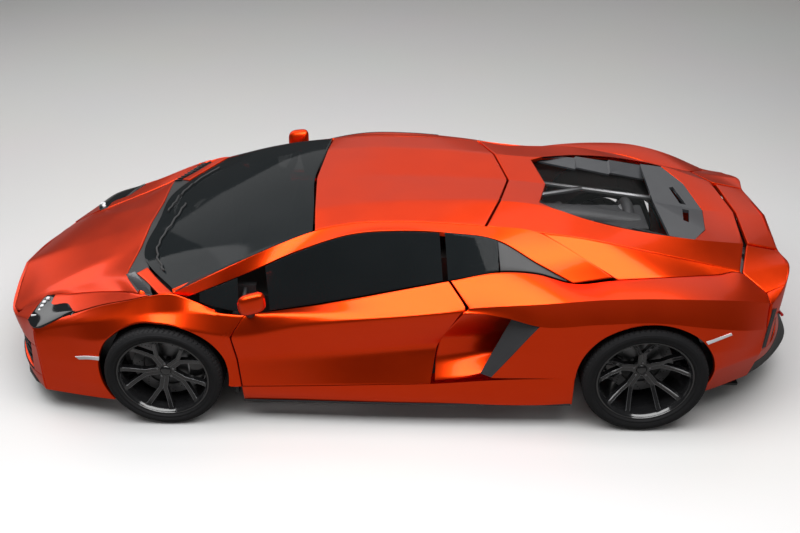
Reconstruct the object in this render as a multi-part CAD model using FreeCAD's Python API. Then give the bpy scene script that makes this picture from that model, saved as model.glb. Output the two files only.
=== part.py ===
import FreeCAD, Part
import math
import os

# A low two-seat sports car with its engine behind the cabin, scissor doors and a wedge body.
# Millimetres. X runs rearward, Y to the car's right, Z up. The origin is on the ground, at mid-length
# on the centreline. Left and right are the driver's.

os.makedirs("parts", exist_ok=True)
Vec = FreeCAD.Vector

# Driving dimensions of the whole car
FRONT_OVERHANG = 1084.0
WHEELBASE = 2700.0
REAR_OVERHANG = 996.0
HALF_WIDTH = 1015.0
HEIGHT = 1136.0
GROUND_CLEARANCE = 125.0
LENGTH = FRONT_OVERHANG + WHEELBASE + REAR_OVERHANG
FRONT_AXLE_X = FRONT_OVERHANG - LENGTH / 2
REAR_AXLE_X = FRONT_AXLE_X + WHEELBASE

# Wheels, tyres and brakes
FRONT_TYRE_RADIUS = 330.0
FRONT_TYRE_WIDTH = 255.0
FRONT_RIM_RADIUS = 259.0
FRONT_HALF_TRACK = 860.0
FRONT_ARCH_RADIUS = 366.0
FRONT_DISC_RADIUS = 198.0
FRONT_DISH = 70.0
REAR_TYRE_RADIUS = 354.0
REAR_TYRE_WIDTH = 335.0
REAR_RIM_RADIUS = 272.0
REAR_HALF_TRACK = 850.0
REAR_ARCH_RADIUS = 386.0
REAR_DISC_RADIUS = 188.0
REAR_DISH = 110.0
ARCH_RISE = 8.0
TYRE_SHOULDER = 26.0
TYRE_BEAD_INSET = 22.0
RIM_FLANGE = 13.0
RIM_WALL = 9.0
SPOKE_WIDTH = 30.0
SPOKE_DEPTH = 24.0
SPOKE_SPLAY_DEG = 13.0
HUB_RADIUS = 62.0
STUB_RADIUS = 26.0
DISC_THICKNESS = 32.0
DISC_OFFSET = 26.0
CALIPER_WALL = 22.0
CALIPER_HALF_SPAN_DEG = 26.0
CALIPER_DEPTH = 70.0
SPOKE_COUNT = 5

# Steering
STEERING_RADIUS = 178.0
STEERING_RIM = 26.0
STEERING_RAKE_DEG = 22.0
COLUMN_LENGTH = 240.0

# Clearances and stand-offs
RUNNING_GAP = 0.3
SHUT_GAP = 5.0
LID_GAP = 11.0
BRAKE_GAP = 5.0
GLASS_STAND_OFF = 11.0
GLASS_TUCK = 6.0
GLASS_EDGE_GAP = 1.0
DOOR_DROP_GAP = 8.0

# Walls
PANEL_WALL = 22.0
DOOR_WALL = 84.0
SILL_DEPTH = 215.0
RAIL_WALL = 34.0
GLASS_WALL = 5.0
LINER_WALL = 8.0
LOUVRE_WALL = 12.0
DUCT_WALL = 12.0
PIPE_WALL = 10.0
CUT_OVERRUN = 60.0

# Kingpin and suspension
KINGPIN_INSET = 85.0
REAR_CARRIER_INSET = 150.0
UPRIGHT_HALF_LENGTH = 52.0
UPRIGHT_THICKNESS = 24.0
UPRIGHT_HALF_HEIGHT = 172.0
ARM_THICKNESS = 22.0
ARM_TIP_HALF_WIDTH = 24.0
ARM_ROOT_HALF_WIDTH = 116.0
BRACE_RADIUS = 16.0
FRONT_LINER_RADIUS = 404.0
REAR_LINER_RADIUS = 395.0
LINER_HALF_SPAN_DEG = 78.0

# Doors
PIN_RADIUS = 12.0
STOP_RADIUS = 11.0

# Steps of the body grid: ahead of the front axle, between the axles, behind the rear axle, from the
# centreline outward, and up. Every place in a table ending in shares is counted in these steps.
FRONT_GRID_SHARE = 10.84
MIDDLE_GRID_SHARE = 27
REAR_GRID_SHARE = 9.96
SIDE_GRID_SHARE = 10.15
UP_GRID_SHARE = 11.36
SLIVER_SHARE = 0.04
DOOR_LEAN_SHARE = 0.35
DOOR_END_WALL_SHARE = 0.28
COLUMN_COUNT = 9
LONG_COLUMN_COUNT = 13
RAIL_COLUMN_COUNT = 17
DOOR_COLUMN_COUNT = 9
WING_TOP_COLUMN_COUNT = 7
FASCIA_COLUMN_COUNT = 7
PANE_COLUMN_COUNT = 5
PATCH_COLUMN_COUNT = 4
ROUND_SIDE_COUNT = 24
ARCH_SIDE_COUNT = 20
HUB_SIDE_COUNT = 12
PEG_SIDE_COUNT = 8

# The body's feature lines. Each holds the direction in which its wall grows inward, then its places
# from front to rear.
line_shares = {
    "bonnet_centre": ((0, 0, -1), (
        (-10.8, 0, 4.95), (-9.5, 0, 5.46), (-7.1, 0, 6.24), (-4.87, 0, 6.98), (-2.38, 0, 7.86))),
    "bonnet_crease": ((0, 0, -1), (
        (-10.05, 4.6, 4.58), (-8.6, 4.35, 5.38), (-7.1, 4.0, 6.06), (-4.87, 3.3, 6.9), (-2.3, 2.86, 7.77))),
    "bonnet_mid": ((0, 0, -1), (
        (-9.5, 5.2, 4.75), (-8.0, 4.85, 5.6), (-6.4, 4.9, 6.18), (-4.4, 5.0, 6.85), (-2.4, 5.9, 7.72))),
    "bonnet_edge": ((0, 0, -1), (
        (-9.1, 5.5, 4.95), (-7.4, 5.25, 5.85), (-5.6, 5.79, 6.38), (-3.89, 6.37, 6.9), (-2.4, 7.1, 7.37),
        (-1.05, 8.15, 7.95))),
    "wing_crest": ((0, -0.5, -1), (
        (-7.38, 7.98, 5.6), (-6.1, 7.9, 6.08), (-4.92, 7.86, 6.5), (-3.4, 8.0, 7.08), (-1.5, 8.4, 7.74),
        (-0.33, 8.52, 8.1), (0.98, 8.62, 8.3), (2.0, 8.55, 7.85), (3.2, 8.6, 7.36), (4.85, 8.7, 7.12))),
    "shoulder": ((0, -1, -0.35), (
        (-7.38, 8.15, 5.42), (-6.1, 8.35, 5.92), (-4.92, 8.6, 6.3), (-3.22, 8.9, 6.68), (-1.5, 9.1, 7.06),
        (-0.27, 9.2, 7.28), (2.45, 9.05, 7.42), (4.8, 8.98, 7.2), (6.26, 9.0, 7.26), (10.08, 9.1, 7.34),
        (13.35, 9.17, 7.5), (16.0, 9.28, 7.76), (17.4, 9.36, 7.98), (20.85, 9.68, 8.45), (24.5, 9.85, 8.89),
        (26.4, 9.87, 8.97), (29.26, 9.75, 8.86), (31.5, 9.2, 8.45), (33.6, 8.42, 7.8))),
    "crease": ((0, -1, -0.1), (
        (-7.4, 8.3, 4.9), (-5.8, 8.6, 5.3), (-3.3, 9.35, 5.6), (-1.5, 9.72, 6.5), (0, 9.8, 6.95),
        (2.0, 9.75, 6.6), (3.94, 9.6, 6.11), (7.9, 9.45, 6.77), (10.66, 9.48, 7.12), (13.37, 9.46, 7.38),
        (16.0, 9.44, 7.62), (17.4, 9.5, 7.74), (19.0, 9.75, 7.62), (20.9, 9.98, 7.2), (24.0, 10.12, 7.45),
        (27.0, 10.15, 7.6), (30.0, 10.0, 7.2), (32.3, 9.35, 6.6), (33.7, 8.5, 6.1))),
    "flank": ((0, -1, 0), (
        (-7.4, 8.35, 3.7), (-3.6, 9.3, 4.0), (0, 9.8, 4.6), (4.2, 9.38, 4.4), (8.0, 9.2, 4.6),
        (12.0, 9.0, 4.8), (15.5, 8.75, 5.0), (17.6, 8.4, 5.1))),
    "sill_crease": ((0, -1, 0), (
        (-7.4, 8.4, 2.4), (-3.6, 9.3, 2.5), (3.7, 9.6, 2.65), (8.0, 9.7, 2.8), (12.0, 9.8, 3.0),
        (15.02, 9.85, 3.14), (19.0, 9.9, 3.5), (23.2, 9.98, 3.7))),
    "sill_bottom": ((0, -1, 0), (
        (-7.4, 8.4, 1.35), (-3.6, 9.2, 1.35), (3.7, 9.3, 1.45), (14.46, 9.75, 1.6), (23.2, 9.85, 1.7),
        (27.0, 9.5, 1.8), (30.5, 9.0, 2.0), (33.7, 7.6, 2.2))),
    "rear_mid": ((0, -1, 0), (
        (18.0, 9.95, 5.5), (20.0, 9.98, 5.5), (24.0, 10.05, 5.5), (27.0, 10.1, 5.6), (30.5, 9.95, 5.5),
        (32.0, 9.4, 5.4), (33.7, 8.5, 5.3))),
    "rear_low": ((0, -1, 0), (
        (18.0, 9.89, 3.41), (20.5, 9.93, 3.6), (23.2, 9.98, 3.7), (27.0, 10.0, 3.6), (30.5, 9.75, 4.0),
        (32.0, 9.2, 4.2), (33.7, 8.55, 4.5))),
    "belt": ((0, -1, -0.2), (
        (1.68, 8.3, 7.79), (3.2, 8.55, 7.34), (4.71, 8.68, 7.12), (7.81, 8.36, 7.28), (10.58, 8.2, 7.74),
        (13.33, 8.02, 8.24), (16.07, 7.92, 8.8), (18.79, 7.8, 9.35))),
    "rail_outer": ((0, -1, -0.5), (
        (1.68, 8.3, 7.85), (4.6, 7.82, 8.93), (7.88, 7.2, 10.26), (10.6, 6.72, 11.0), (13.32, 6.5, 11.13),
        (16.06, 6.42, 10.95), (18.8, 6.52, 10.5), (20.88, 7.4, 9.58), (22.8, 8.1, 8.78))),
    "rail_inner": ((0, 0, -1), (
        (0.98, 8.6, 8.32), (4.6, 7.5, 9.71), (6.73, 6.75, 10.4), (8.55, 6.14, 10.86), (10.6, 5.85, 11.17),
        (13.2, 5.72, 11.24), (15.3, 5.72, 11.18), (18.0, 5.66, 10.96), (21.14, 5.75, 10.6),
        (23.15, 7.0, 9.95), (25.0, 7.9, 9.03))),
    "roof_crease": ((0, 0, -1), (
        (8.3, 4.0, 11.05), (11.4, 3.7, 11.36), (15.42, 3.41, 11.38), (18.97, 3.13, 11.22), (21.6, 3.3, 10.95),
        (24.0, 4.3, 10.62), (30.0, 4.75, 9.66), (33.2, 3.9, 8.9))),
    "roof_centre": ((0, 0, -1), (
        (8.05, 0, 11.03), (10.5, 0, 11.25), (13.13, 0, 11.24), (16.74, 0, 11.16), (19.69, 0, 10.98),
        (24.0, 0, 10.42), (28.0, 0, 9.7), (31.68, 0, 8.98), (33.6, 0, 8.86))),
    "lid_edge": ((0, -0.3, -1), (
        (18.0, 5.66, 10.96), (21.14, 5.75, 10.6), (24.32, 6.2, 10.35), (27.2, 6.35, 9.75), (29.9, 6.3, 9.1),
        (32.5, 6.3, 8.5))),
    "quarter_inner": ((0, -0.5, -1), (
        (16.07, 7.92, 8.8), (18.79, 7.8, 9.3), (20.9, 7.85, 9.2), (22.8, 8.1, 8.78), (25.0, 8.1, 9.0),
        (27.5, 7.9, 9.05), (31.05, 6.75, 8.55), (32.5, 6.45, 8.46), (33.6, 7.6, 7.95))),
    "screen_mid": ((0, 0, -1), ((-1.75, 4.2, 7.95), (2.0, 4.1, 9.3), (5.0, 3.8, 10.25), (8.35, 3.4, 11.02))),
    "screen_centre": ((0, 0, -1), ((-1.95, 0, 8.0), (2.0, 0, 9.45), (5.0, 0, 10.35), (8.05, 0, 11.03))),
}

# Fascia lines run from the centreline outward and back to the wheel arch.
fascia_shares = {
    "nose_top": ((-10.84, 0, 4.91), (-10.5, 2.6, 4.76), (-10.07, 4.6, 4.55), (-9.4, 5.7, 4.75),
                 (-8.2, 6.9, 5.3),
                 (-7.4, 8.1, 5.4)),
    "nose_mid": ((-10.55, 0, 4.2), (-10.2, 2.6, 3.95), (-9.75, 4.8, 3.85), (-9.0, 6.2, 3.85),
                 (-8.2, 7.3, 4.0),
                 (-7.4, 8.3, 4.4)),
    "nose_low": ((-10.3, 0, 2.3), (-10.15, 2.6, 2.25), (-9.75, 4.9, 2.3), (-9.1, 6.4, 2.15), (-8.3, 7.5, 2.2),
                 (-7.4, 8.4, 2.4)),
    "nose_lip": ((-10.1, 0, 1.3), (-9.95, 2.6, 1.3), (-9.5, 5.0, 1.3), (-8.8, 6.6, 1.3), (-8.1, 7.6, 1.3),
                 (-7.4, 8.4, 1.35)),
    "tail_top": ((35.6, 0, 8.67), (35.4, 2.4, 8.55), (35.3, 3.9, 8.46), (35.45, 5.38, 8.48), (34.8, 7.0, 8.1),
                 (33.75, 8.35, 7.7)),
    "tail_mid": ((34.9, 0, 7.0), (34.9, 2.4, 7.0), (35.0, 3.9, 6.95), (35.1, 5.8, 6.7), (34.7, 7.2, 6.4),
                 (33.75, 8.45, 6.1)),
    "tail_low": ((35.6, 0, 5.0), (35.6, 2.4, 5.0), (35.5, 3.9, 5.0), (35.2, 6.0, 4.8), (34.5, 7.6, 4.6),
                 (33.55, 8.55, 4.5)),
    "tail_lip": ((36.96, 0, 2.9), (36.9, 2.4, 2.9), (36.6, 4.4, 2.8), (35.4, 6.1, 2.5), (34.4, 7.0, 2.3),
                 (33.4, 7.7, 2.2)),
}
tray_nose_shares = (
    (-10.1, 0, 0), (-9.9, 2.6, 0), (-9.6, 4.9, 0), (-9.0, 6.6, 0), (-8.2, 7.6, 0), (-7.4, 8.1, 0),
)
tray_tail_share = (33.2, 7.4, 0)
tray_top_share = (0, 0, 1.4)
nose_core_share = (-4.0, 0.5, 4.0)
tail_core_share = (31.0, 0.5, 4.0)
door_pivot_share = (4.7, 9.0, 7.3)
steering_hub_share = (7.9, -4.2, 6.7)

# Panels between feature lines: each line with its first and last station
panel_shares = {
    "bonnet": (("bonnet_edge", -9.0, -1.05), ("bonnet_mid", -9.5, -2.4), ("bonnet_crease", -10.0, -2.3),
               ("bonnet_centre", -10.7, -2.38)),
    "wing_top": (("bonnet_edge", -7.0125, -1.05), ("wing_crest", -7.0125, -0.33)),
    "wing_side": (("wing_crest", -7.38, 4.85), ("shoulder", -7.38, 4.75), ("crease", -7.4, 4.0),
                  ("flank", -7.4, 4.15), ("sill_crease", -7.4, 4.3)),
    "wing_foot": (("sill_crease", -7.4, -3.4), ("sill_bottom", -7.4, -3.4)),
    "windscreen": (("rail_inner", 1.1, 8.5), ("screen_mid", -1.75, 8.3), ("screen_centre", -1.9, 8.0)),
    "roof": (("rail_inner", 8.6, 18.0), ("roof_crease", 8.4, 18.9), ("roof_centre", 8.1, 19.6)),
    "rail": (("rail_inner", 0.98, 25.0), ("rail_outer", 1.68, 22.8)),
    "deck": (("lid_edge", 18.1, 32.3), ("roof_crease", 19.1, 33.1), ("roof_centre", 19.8, 33.5)),
    "triangle_glass": (("rail_outer", 2.4, 4.45), ("belt", 2.4, 4.5)),
    "quarter_glass": (("rail_outer", 16.3, 18.4), ("belt", 16.65, 18.4)),
    "quarter_front": (("quarter_inner", 16.2, 19.94), ("shoulder", 17.3, 20.8), ("crease", 17.4, 20.9)),
    "quarter_rear": (("quarter_inner", 19.94, 33.6), ("shoulder", 20.8, 33.6), ("crease", 20.9, 33.7),
                     ("rear_mid", 19.65, 33.65), ("rear_low", 18.4, 33.4)),
    "quarter_foot": (("rear_low", 29.725, 33.4), ("sill_bottom", 29.8, 33.4)),
    "deck_side": (("lid_edge", 21.2, 32.4), ("quarter_inner", 25.2, 32.5)),
    "door": (("belt", 4.95, 16.0), ("shoulder", 4.85, 17.0), ("crease", 4.05, 16.7), ("flank", 4.25, 15.4),
             ("sill_crease", 4.4, 15.05)),
    "door_glass": (("rail_outer", 5.95, 15.5), ("belt", 6.15, 15.7)),
    "sill": (("sill_crease", 3.9, 23.0), ("sill_bottom", 3.9, 23.0)),
}

# Small panels on places of their own: for each row the direction inward, then its places
patch_shares = {
    "headlamp": (((0, 0, -1), ((-7.45, 5.3, 5.9), (-7.0, 5.45, 5.97), (-5.05, 7.75, 6.46))),
                 ((0, 0, -1), ((-8.1, 6.9, 5.32), (-7.4, 7.96, 5.58), (-5.0, 7.84, 6.46)))),
    "scuttle": (((0, 0, -1), ((-1.0, 8.2, 7.97), (-0.3, 8.5, 8.08))),
                ((0, 0, -1), ((-2.35, 5.9, 7.76), (-0.9, 6.4, 8.0))),
                ((0, 0, -1), ((-2.25, 2.86, 7.8), (-1.9, 2.9, 7.93))),
                ((0, 0, -1), ((-2.33, 0, 7.88), (-1.97, 0, 8.0)))),
    "tail_corner": (((0, 0, -1), ((33.45, 4.0, 8.86), (35.3, 3.95, 8.46))),
                    ((0, 0, -1), ((32.6, 6.35, 8.45), (35.45, 5.4, 8.48))),
                    ((0, 0, -1), ((33.62, 7.62, 7.94), (34.75, 7.1, 8.1)))),
    "tail_wing": (((0, 0, -1), ((33.45, 3.8, 8.87), (35.25, 3.8, 8.5))),
                  ((0, 0, -1), ((33.75, 0, 8.85), (35.5, 0, 8.66)))),
    "intake_blade": (((0, -1, 0), ((19.5, 9.3, 7.45), (17.8, 9.5, 3.62))),
                     ((0, -1, 0), ((20.92, 9.95, 7.17), (18.42, 9.92, 3.69)))),
    "intake_ramp": (((0, -1, 0), ((16.8, 9.42, 7.6), (18.6, 9.2, 7.5), (20.75, 8.8, 7.2))),
                    ((0, -1, 0), ((15.75, 8.8, 5.6), (17.4, 8.4, 5.55), (19.8, 7.95, 5.5))),
                    ((0, -1, 0), ((15.5, 8.95, 4.3), (17.0, 8.55, 4.25), (19.0, 8.05, 4.3))),
                    ((0, -1, 0), ((15.3, 9.75, 3.36), (17.0, 9.6, 3.5), (18.4, 9.3, 3.7)))),
    "lid_glass": (((0, 0, -1), ((21.2, 3.7, 10.6), (22.4, 3.7, 10.36), (24.5, 3.7, 9.98), (28.7, 3.8, 9.26))),
                  ((0, 0, -1), ((21.6, 0, 10.7), (24.0, 0, 10.3), (28.7, 0, 9.45)))),
    "diffuser": (((0, 0, 1), ((33.2, 5.6, 1.25), (35.3, 5.4, 2.1))),
                 ((0, 0, 1), ((33.2, 0, 1.25), (36.5, 0, 2.45)))),
    "mirror": (((0, -1, -0.6), ((4.9, 10.8, 9.35), (6.5, 10.6, 9.8))),
               ((0, -0.6, 1), ((4.9, 10.6, 8.2), (6.4, 10.0, 7.7)))),
}

# Panels with sharp steps: straight rows through their places, from the outer edge inward
step_shares = {
    "lid_band": (((22.13, 4.02, 10.76), (24.2, 4.22, 10.46), (24.3, 4.23, 10.56), (26.4, 4.44, 10.12),
                  (26.5, 4.45, 10.22), (28.7, 4.67, 9.74)),
                 ((21.75, 3.45, 10.6), (24.2, 3.45, 10.05), (24.3, 3.45, 10.16), (26.4, 3.5, 9.67),
                  (26.5, 3.5, 9.78), (28.7, 3.6, 9.28))),
    "lid_tail": (((28.6, 4.66, 9.84), (30.01, 4.75, 9.62)),
                 ((28.6, 2.96, 9.75), (31.1, 2.96, 9.3)),
                 ((28.6, 0, 9.55), (31.68, 0, 8.96))),
}

# Upright and slanted outlines that are carried straight
outline_shares = {
    "lid_window": ((21.96, 0, 0), (21.31, 2.9, 0), (22.13, 4.02, 0), (30.01, 4.8, 0), (31.1, 2.96, 0),
                   (31.68, 0, 0)),
    "lid_slot": ((30.35, 0.35, 0), (30.0, 2.1, 0), (30.3, 2.3, 0), (30.75, 0.35, 0)),
    "nose_intake": ((-11.5, 2.0, 3.5), (-11.5, 6.9, 3.8), (-11.5, 7.35, 2.25), (-11.5, 2.6, 2.15)),
    "tail_lamp": ((33.5, 5.1, 6.6), (33.5, 7.6, 6.9), (33.5, 8.25, 7.2), (33.5, 8.4, 5.4), (33.5, 7.6, 5.5),
                  (33.5, 5.5, 5.8)),
    "mirror_foot": ((6.2, 8.75, 6.95), (6.65, 8.75, 6.98), (6.65, 8.75, 7.2), (6.2, 8.75, 7.18)),
    "seat_back": ((13.0, 1.9, 3.6), (14.6, 1.9, 3.6), (16.6, 1.9, 9.4), (15.6, 1.9, 9.4)),
    "cylinder_head": (
        (19.2, 0.9, 5.4), (19.2, 2.8, 5.4), (19.2, 3.9, 6.6), (19.2, 2.4, 7.4), (19.2, 1.4, 7.0),
    ),
    "inlet_runner": ((19.6, 0.9, 7.0), (19.6, 2.3, 7.0), (19.6, 1.4, 8.0), (19.6, 0.9, 8.0)),
}
nose_intake_reach_share = (3.0, 0, 0)
tail_lamp_reach_share = (3.0, 0, 0)
mirror_foot_reach_share = (-0.25, 1.35, 0.95)
seat_width_share = (0, 4.6, 0)
cylinder_head_reach_share = (9.2, 0, 0)
inlet_runner_reach_share = (0.7, 0, 0)
inlet_runner_pitch_share = (1.4, 0, 0)
INLET_RUNNER_COUNT = 6

# Upright boxes: the low corner and the high corner
tub_shares = {
    "toe_floor": ((1.3, 0, 1.4), (4.35, 5.6, 1.75)),
    "floor": ((4.05, 0, 1.4), (17.2, 7.4, 1.75)),
    "side": ((4.35, 7.0, 1.75), (17.2, 7.4, 3.9)),
    "front": ((1.3, 0, 1.75), (1.6, 5.6, 7.5)),
    "foot_side": ((1.6, 5.2, 1.75), (4.35, 5.6, 6.2)),
    "foot_step": ((4.05, 5.2, 1.75), (4.35, 8.5, 6.9)),
    "door_flange": ((3.88, 8.35, 1.8), (4.05, 9.1, 6.0)),
    "hinge_post": ((4.05, 7.1, 6.5), (5.3, 7.45, 8.1)),
    "back": ((16.9, 0, 1.75), (17.2, 7.4, 8.9)),
    "tunnel": ((1.6, 0, 1.75), (16.9, 1.3, 4.4)),
}
nose_frame_shares = {
    "floor": ((-7.6, 0, 1.4), (1.3, 5.6, 1.6)),
    "side": ((-6.6, 5.2, 1.6), (1.3, 5.6, 5.4)),
    "front": ((-7.6, 0, 1.6), (-7.3, 5.6, 4.4)),
    "front_side": ((-7.3, 5.2, 1.6), (-6.6, 5.6, 4.4)),
    "crash_beam": ((-9.6, 0, 2.6), (-7.6, 3.0, 3.4)),
}
bay_shares = {
    "rail": ((17.2, 4.2, 2.6), (33.2, 5.0, 4.0)),
    "cross": ((32.6, 0, 2.6), (33.2, 6.6, 4.0)),
    "engine_mount": ((20.5, 2.8, 2.8), (21.5, 4.4, 3.3)),
    "side_plate": ((25.0, 5.2, 1.4), (28.9, 5.6, 5.6)),
    "side_tie": ((25.2, 4.2, 2.7), (28.7, 5.4, 3.4)),
    "tray_post": ((32.6, 4.2, 1.4), (33.2, 5.0, 2.6)),
    "deck_post": ((32.6, 4.2, 4.0), (33.2, 5.0, 8.0)),
    "deck_cross": ((32.6, 0, 7.4), (33.2, 6.6, 8.0)),
    "wing_shelf": ((33.2, 2.6, 7.7), (34.3, 3.4, 7.9)),
}
engine_shares = {
    "crankcase": ((18.6, 0, 2.2), (29.4, 2.8, 5.4)),
    "valley": ((19.0, 0, 5.4), (28.8, 1.1, 7.0)),
    "plenum": ((19.4, 0, 8.0), (28.2, 1.5, 8.5)),
    "plenum_wall": ((19.4, 0, 7.0), (28.2, 0.9, 8.0)),
    "cam_drive": ((18.3, 0, 3.0), (18.6, 2.4, 6.6)),
    "gearbox": ((29.4, 0, 2.4), (32.2, 1.9, 5.2)),
}
grille_shares = {
    "nose_radiator": ((-8.0, 3.1, 1.7), (-7.6, 5.6, 3.9)),
    "side_radiator": ((20.9, 5.0, 3.7), (21.6, 8.9, 6.6)),
    "tail_mesh": ((33.2, 0, 5.1), (33.35, 5.0, 6.8)),
}
box_shares = {
    "sill_front_cut": ((3.0, 6.0, 1.0), (4.05, 9.1, 4.0)),
    "sill_rear_cut": ((21.6, 6.0, 1.0), (27.0, 9.1, 5.0)),
    "tail_beam": ((33.2, 3.0, 3.2), (36.9, 3.8, 3.8)),
    "tail_pipe": ((33.2, -1.1, 3.3), (36.7, 1.1, 4.2)),
    "tail_pipe_room": ((33.4, -1.3, 3.1), (37.0, 1.3, 4.4)),
    "tail_opening": ((33.4, -4.7, 5.2), (36.5, 4.7, 6.6)),
    "door_hinge_block": ((4.4, 7.6, 6.6), (5.3, 8.05, 7.95)),
    "dashboard": ((3.5, -7.1, 5.6), (6.0, 7.1, 7.2)),
    "seat_base": ((9.4, 1.9, 1.75), (14.2, 6.5, 3.6)),
}
diffuser_fin_shares = ((33.3, 1.2, 1.3), (33.3, 2.9, 1.3), (33.3, 4.6, 1.3))
diffuser_fin_size_share = (2.1, 0.1, 0.55)
brace_shares = (((17.1, 6.0, 8.5), (32.9, 3.0, 7.7)), ((17.1, 1.2, 8.5), (24.9, 4.49, 8.105)))
lid_peg_shares = {
    "front_lid": (-5.6, 5.4, 5.4),
    "engine_lid": (32.9, 3.0, 8.0),
    "tail_wing": (34.0, 3.0, 7.9),
}


def place(share):
    """A grid place as a point: the three stretches of the length keep their own step."""
    x, y, z = share
    if x < 0:
        run = x * FRONT_OVERHANG / FRONT_GRID_SHARE
    elif x <= MIDDLE_GRID_SHARE:
        run = x * WHEELBASE / MIDDLE_GRID_SHARE
    else:
        run = WHEELBASE + (x - MIDDLE_GRID_SHARE) * REAR_OVERHANG / REAR_GRID_SHARE
    return Vec(FRONT_AXLE_X + run, y * HALF_WIDTH / SIDE_GRID_SHARE, z * HEIGHT / UP_GRID_SHARE)


ARM_ROOT_Y = place(tub_shares["foot_side"][1]).y


def smooth_at(places, knots, t):
    """The place at t on the smooth curve through all places: each stretch is a cubic whose end slopes
    are the weighted means of the straight slopes on either side."""
    i = max(k for k in range(len(knots) - 1) if k == 0 or knots[k] <= t)
    span = knots[i + 1] - knots[i]
    u = min(1, max(0, (t - knots[i]) / span))
    result = []
    for axis in range(3):
        rises = [(b[axis] - a[axis]) / (tb - ta) for a, b, ta, tb in
                 zip(places, places[1:], knots, knots[1:])]
        slopes = [rises[0]]
        for k in range(1, len(rises)):
            before, after = knots[k] - knots[k - 1], knots[k + 1] - knots[k]
            slopes.append((after * rises[k - 1] + before * rises[k]) / (before + after))
        slopes.append(rises[-1])
        low, high = places[i][axis], places[i + 1][axis]
        result.append(low * (1 + 2 * u) * (1 - u) ** 2 + high * u * u * (3 - 2 * u)
                      + span * u * (1 - u) * (slopes[i] * (1 - u) - slopes[i + 1] * u))
    return tuple(result)


def row(line, x_from_share, x_to_share, columns=COLUMN_COUNT):
    """Points along one feature line between two stations, and the line's inward direction."""
    inward, places = line_shares[line]
    knots = [p[0] for p in places]
    steps = [x_from_share + (x_to_share - x_from_share) * i / (columns - 1) for i in range(columns)]
    return [place(smooth_at(places, knots, x)) for x in steps], [Vec(*inward).normalize()] * columns


def places_row(places, inward, columns=COLUMN_COUNT):
    """Points along the smooth curve through a few places, and an inward direction."""
    knots = [0]
    for a, b in zip(places, places[1:]):
        knots.append(knots[-1] + math.dist(a, b))
    steps = [knots[-1] * i / (columns - 1) for i in range(columns)]
    return [place(smooth_at(places, knots, t)) for t in steps], [Vec(*inward).normalize()] * columns


def panel_rows(name, columns=COLUMN_COUNT):
    """The rows of a panel that lies between feature lines."""
    return [row(line, x_from, x_to, columns) for line, x_from, x_to in panel_shares[name]]


def patch_rows(name, columns=PATCH_COLUMN_COUNT):
    """The rows of a small panel, each a smooth curve through its own places."""
    return [places_row(places, inward, columns) for inward, places in patch_shares[name]]


def step_rows(name, inward):
    """Straight rows through a panel's places, corner by corner."""
    way = Vec(*inward).normalize()
    return [([place(p) for p in places], [way] * len(places)) for places in step_shares[name]]


def span_of(share):
    """A grid difference as a vector."""
    return place(share) - place((0, 0, 0))


def inward_of(line):
    return Vec(*line_shares[line][0]).normalize()


def mirrored_row(one):
    points, inward = one
    return [Vec(p.x, -p.y, p.z) for p in points], [Vec(d.x, -d.y, d.z) for d in inward]


def inset_rows(rows, first_gap=0, last_gap=0, gap_along=0):
    """Rows drawn in from their neighbours, to leave a shut line round a moving panel."""
    rows = [([Vec(p) for p in points], inward) for points, inward in rows]
    for here, there, gap_across in ((0, 1, first_gap), (-1, -2, last_gap)):
        if gap_across:
            pairs = zip(rows[here][0], rows[there][0])
            rows[here] = ([p + (q - p).normalize() * gap_across for p, q in pairs], rows[here][1])
    for points, inward in rows:
        for here, there in ((0, 1), (-1, -2)):
            if gap_along:
                points[here] = points[here] + (points[there] - points[here]).normalize() * gap_along
    return rows


def tucked(rows):
    """Rows whose outer edges grow their wall inboard as well as down, so that the rim clears as it lifts."""
    rows = list(rows)
    for here, there in ((0, 1), (-1, -2)):
        points, inward = rows[here]
        ways = [(q - p).normalize() for p, q in zip(points, rows[there][0])]
        rows[here] = (points, [(d + way).normalize() for d, way in zip(inward, ways)])
    return rows


def crowned(rows, steps):
    """Extra rows between the given ones, on smooth curves that cross them."""
    knots = list(range(len(rows)))
    result = []
    for k in range((len(rows) - 1) * steps + 1):
        t = k / steps
        points = [Vec(*smooth_at([tuple(r[0][c]) for r in rows], knots, t)) for c in range(len(rows[0][0]))]
        inward = [Vec(*smooth_at([tuple(r[1][c]) for r in rows], knots, t)) for c in range(len(rows[0][0]))]
        result.append((points, inward))
    return result


def triangle_face(a, b, c):
    return Part.Face(Part.makePolygon([a, b, c, a]))


def patch_faces(grid):
    """Two flat facets for each cell of a grid of points."""
    faces = []
    for near, far in zip(grid, grid[1:]):
        for a, b, c, d in zip(near, near[1:], far, far[1:]):
            faces += [triangle_face(a, b, c), triangle_face(b, d, c)]
    return faces


def solid_from(faces):
    shell = Part.makeShell(faces)
    shell.sewShape()
    solid = Part.Solid(shell)
    if solid.Volume < 0:
        shell.reverse()
        solid = Part.Solid(shell).removeSplitter()
    return solid


def skin(rows, wall):
    """A panel on rows of points: outer facets, inner facets a wall's thickness inward, and rims."""
    outer = [points for points, inward in rows]
    inner = [[p + d * wall for p, d in zip(points, inward)] for points, inward in rows]
    faces = patch_faces(outer) + patch_faces(inner)
    for side in (0, -1):
        faces += patch_faces([outer[side], inner[side]])
        faces += patch_faces([[r[side] for r in outer], [r[side] for r in inner]])
    return solid_from(faces)


def across(*rows):
    """Rows given from the right edge to the centreline, carried on to the left edge."""
    return list(rows) + [mirrored_row(r) for r in reversed(rows[:-1])]


def fascia_row(name, core_share):
    """A fascia line from the centreline round the end of the car to the right arch."""
    core = place(core_share)
    points = places_row(fascia_shares[name], (0, 0, 1), FASCIA_COLUMN_COUNT)[0]
    return points, [Vec(core.x - p.x, -p.y * core_share[1], core.z - p.z).normalize() for p in points]


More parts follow.
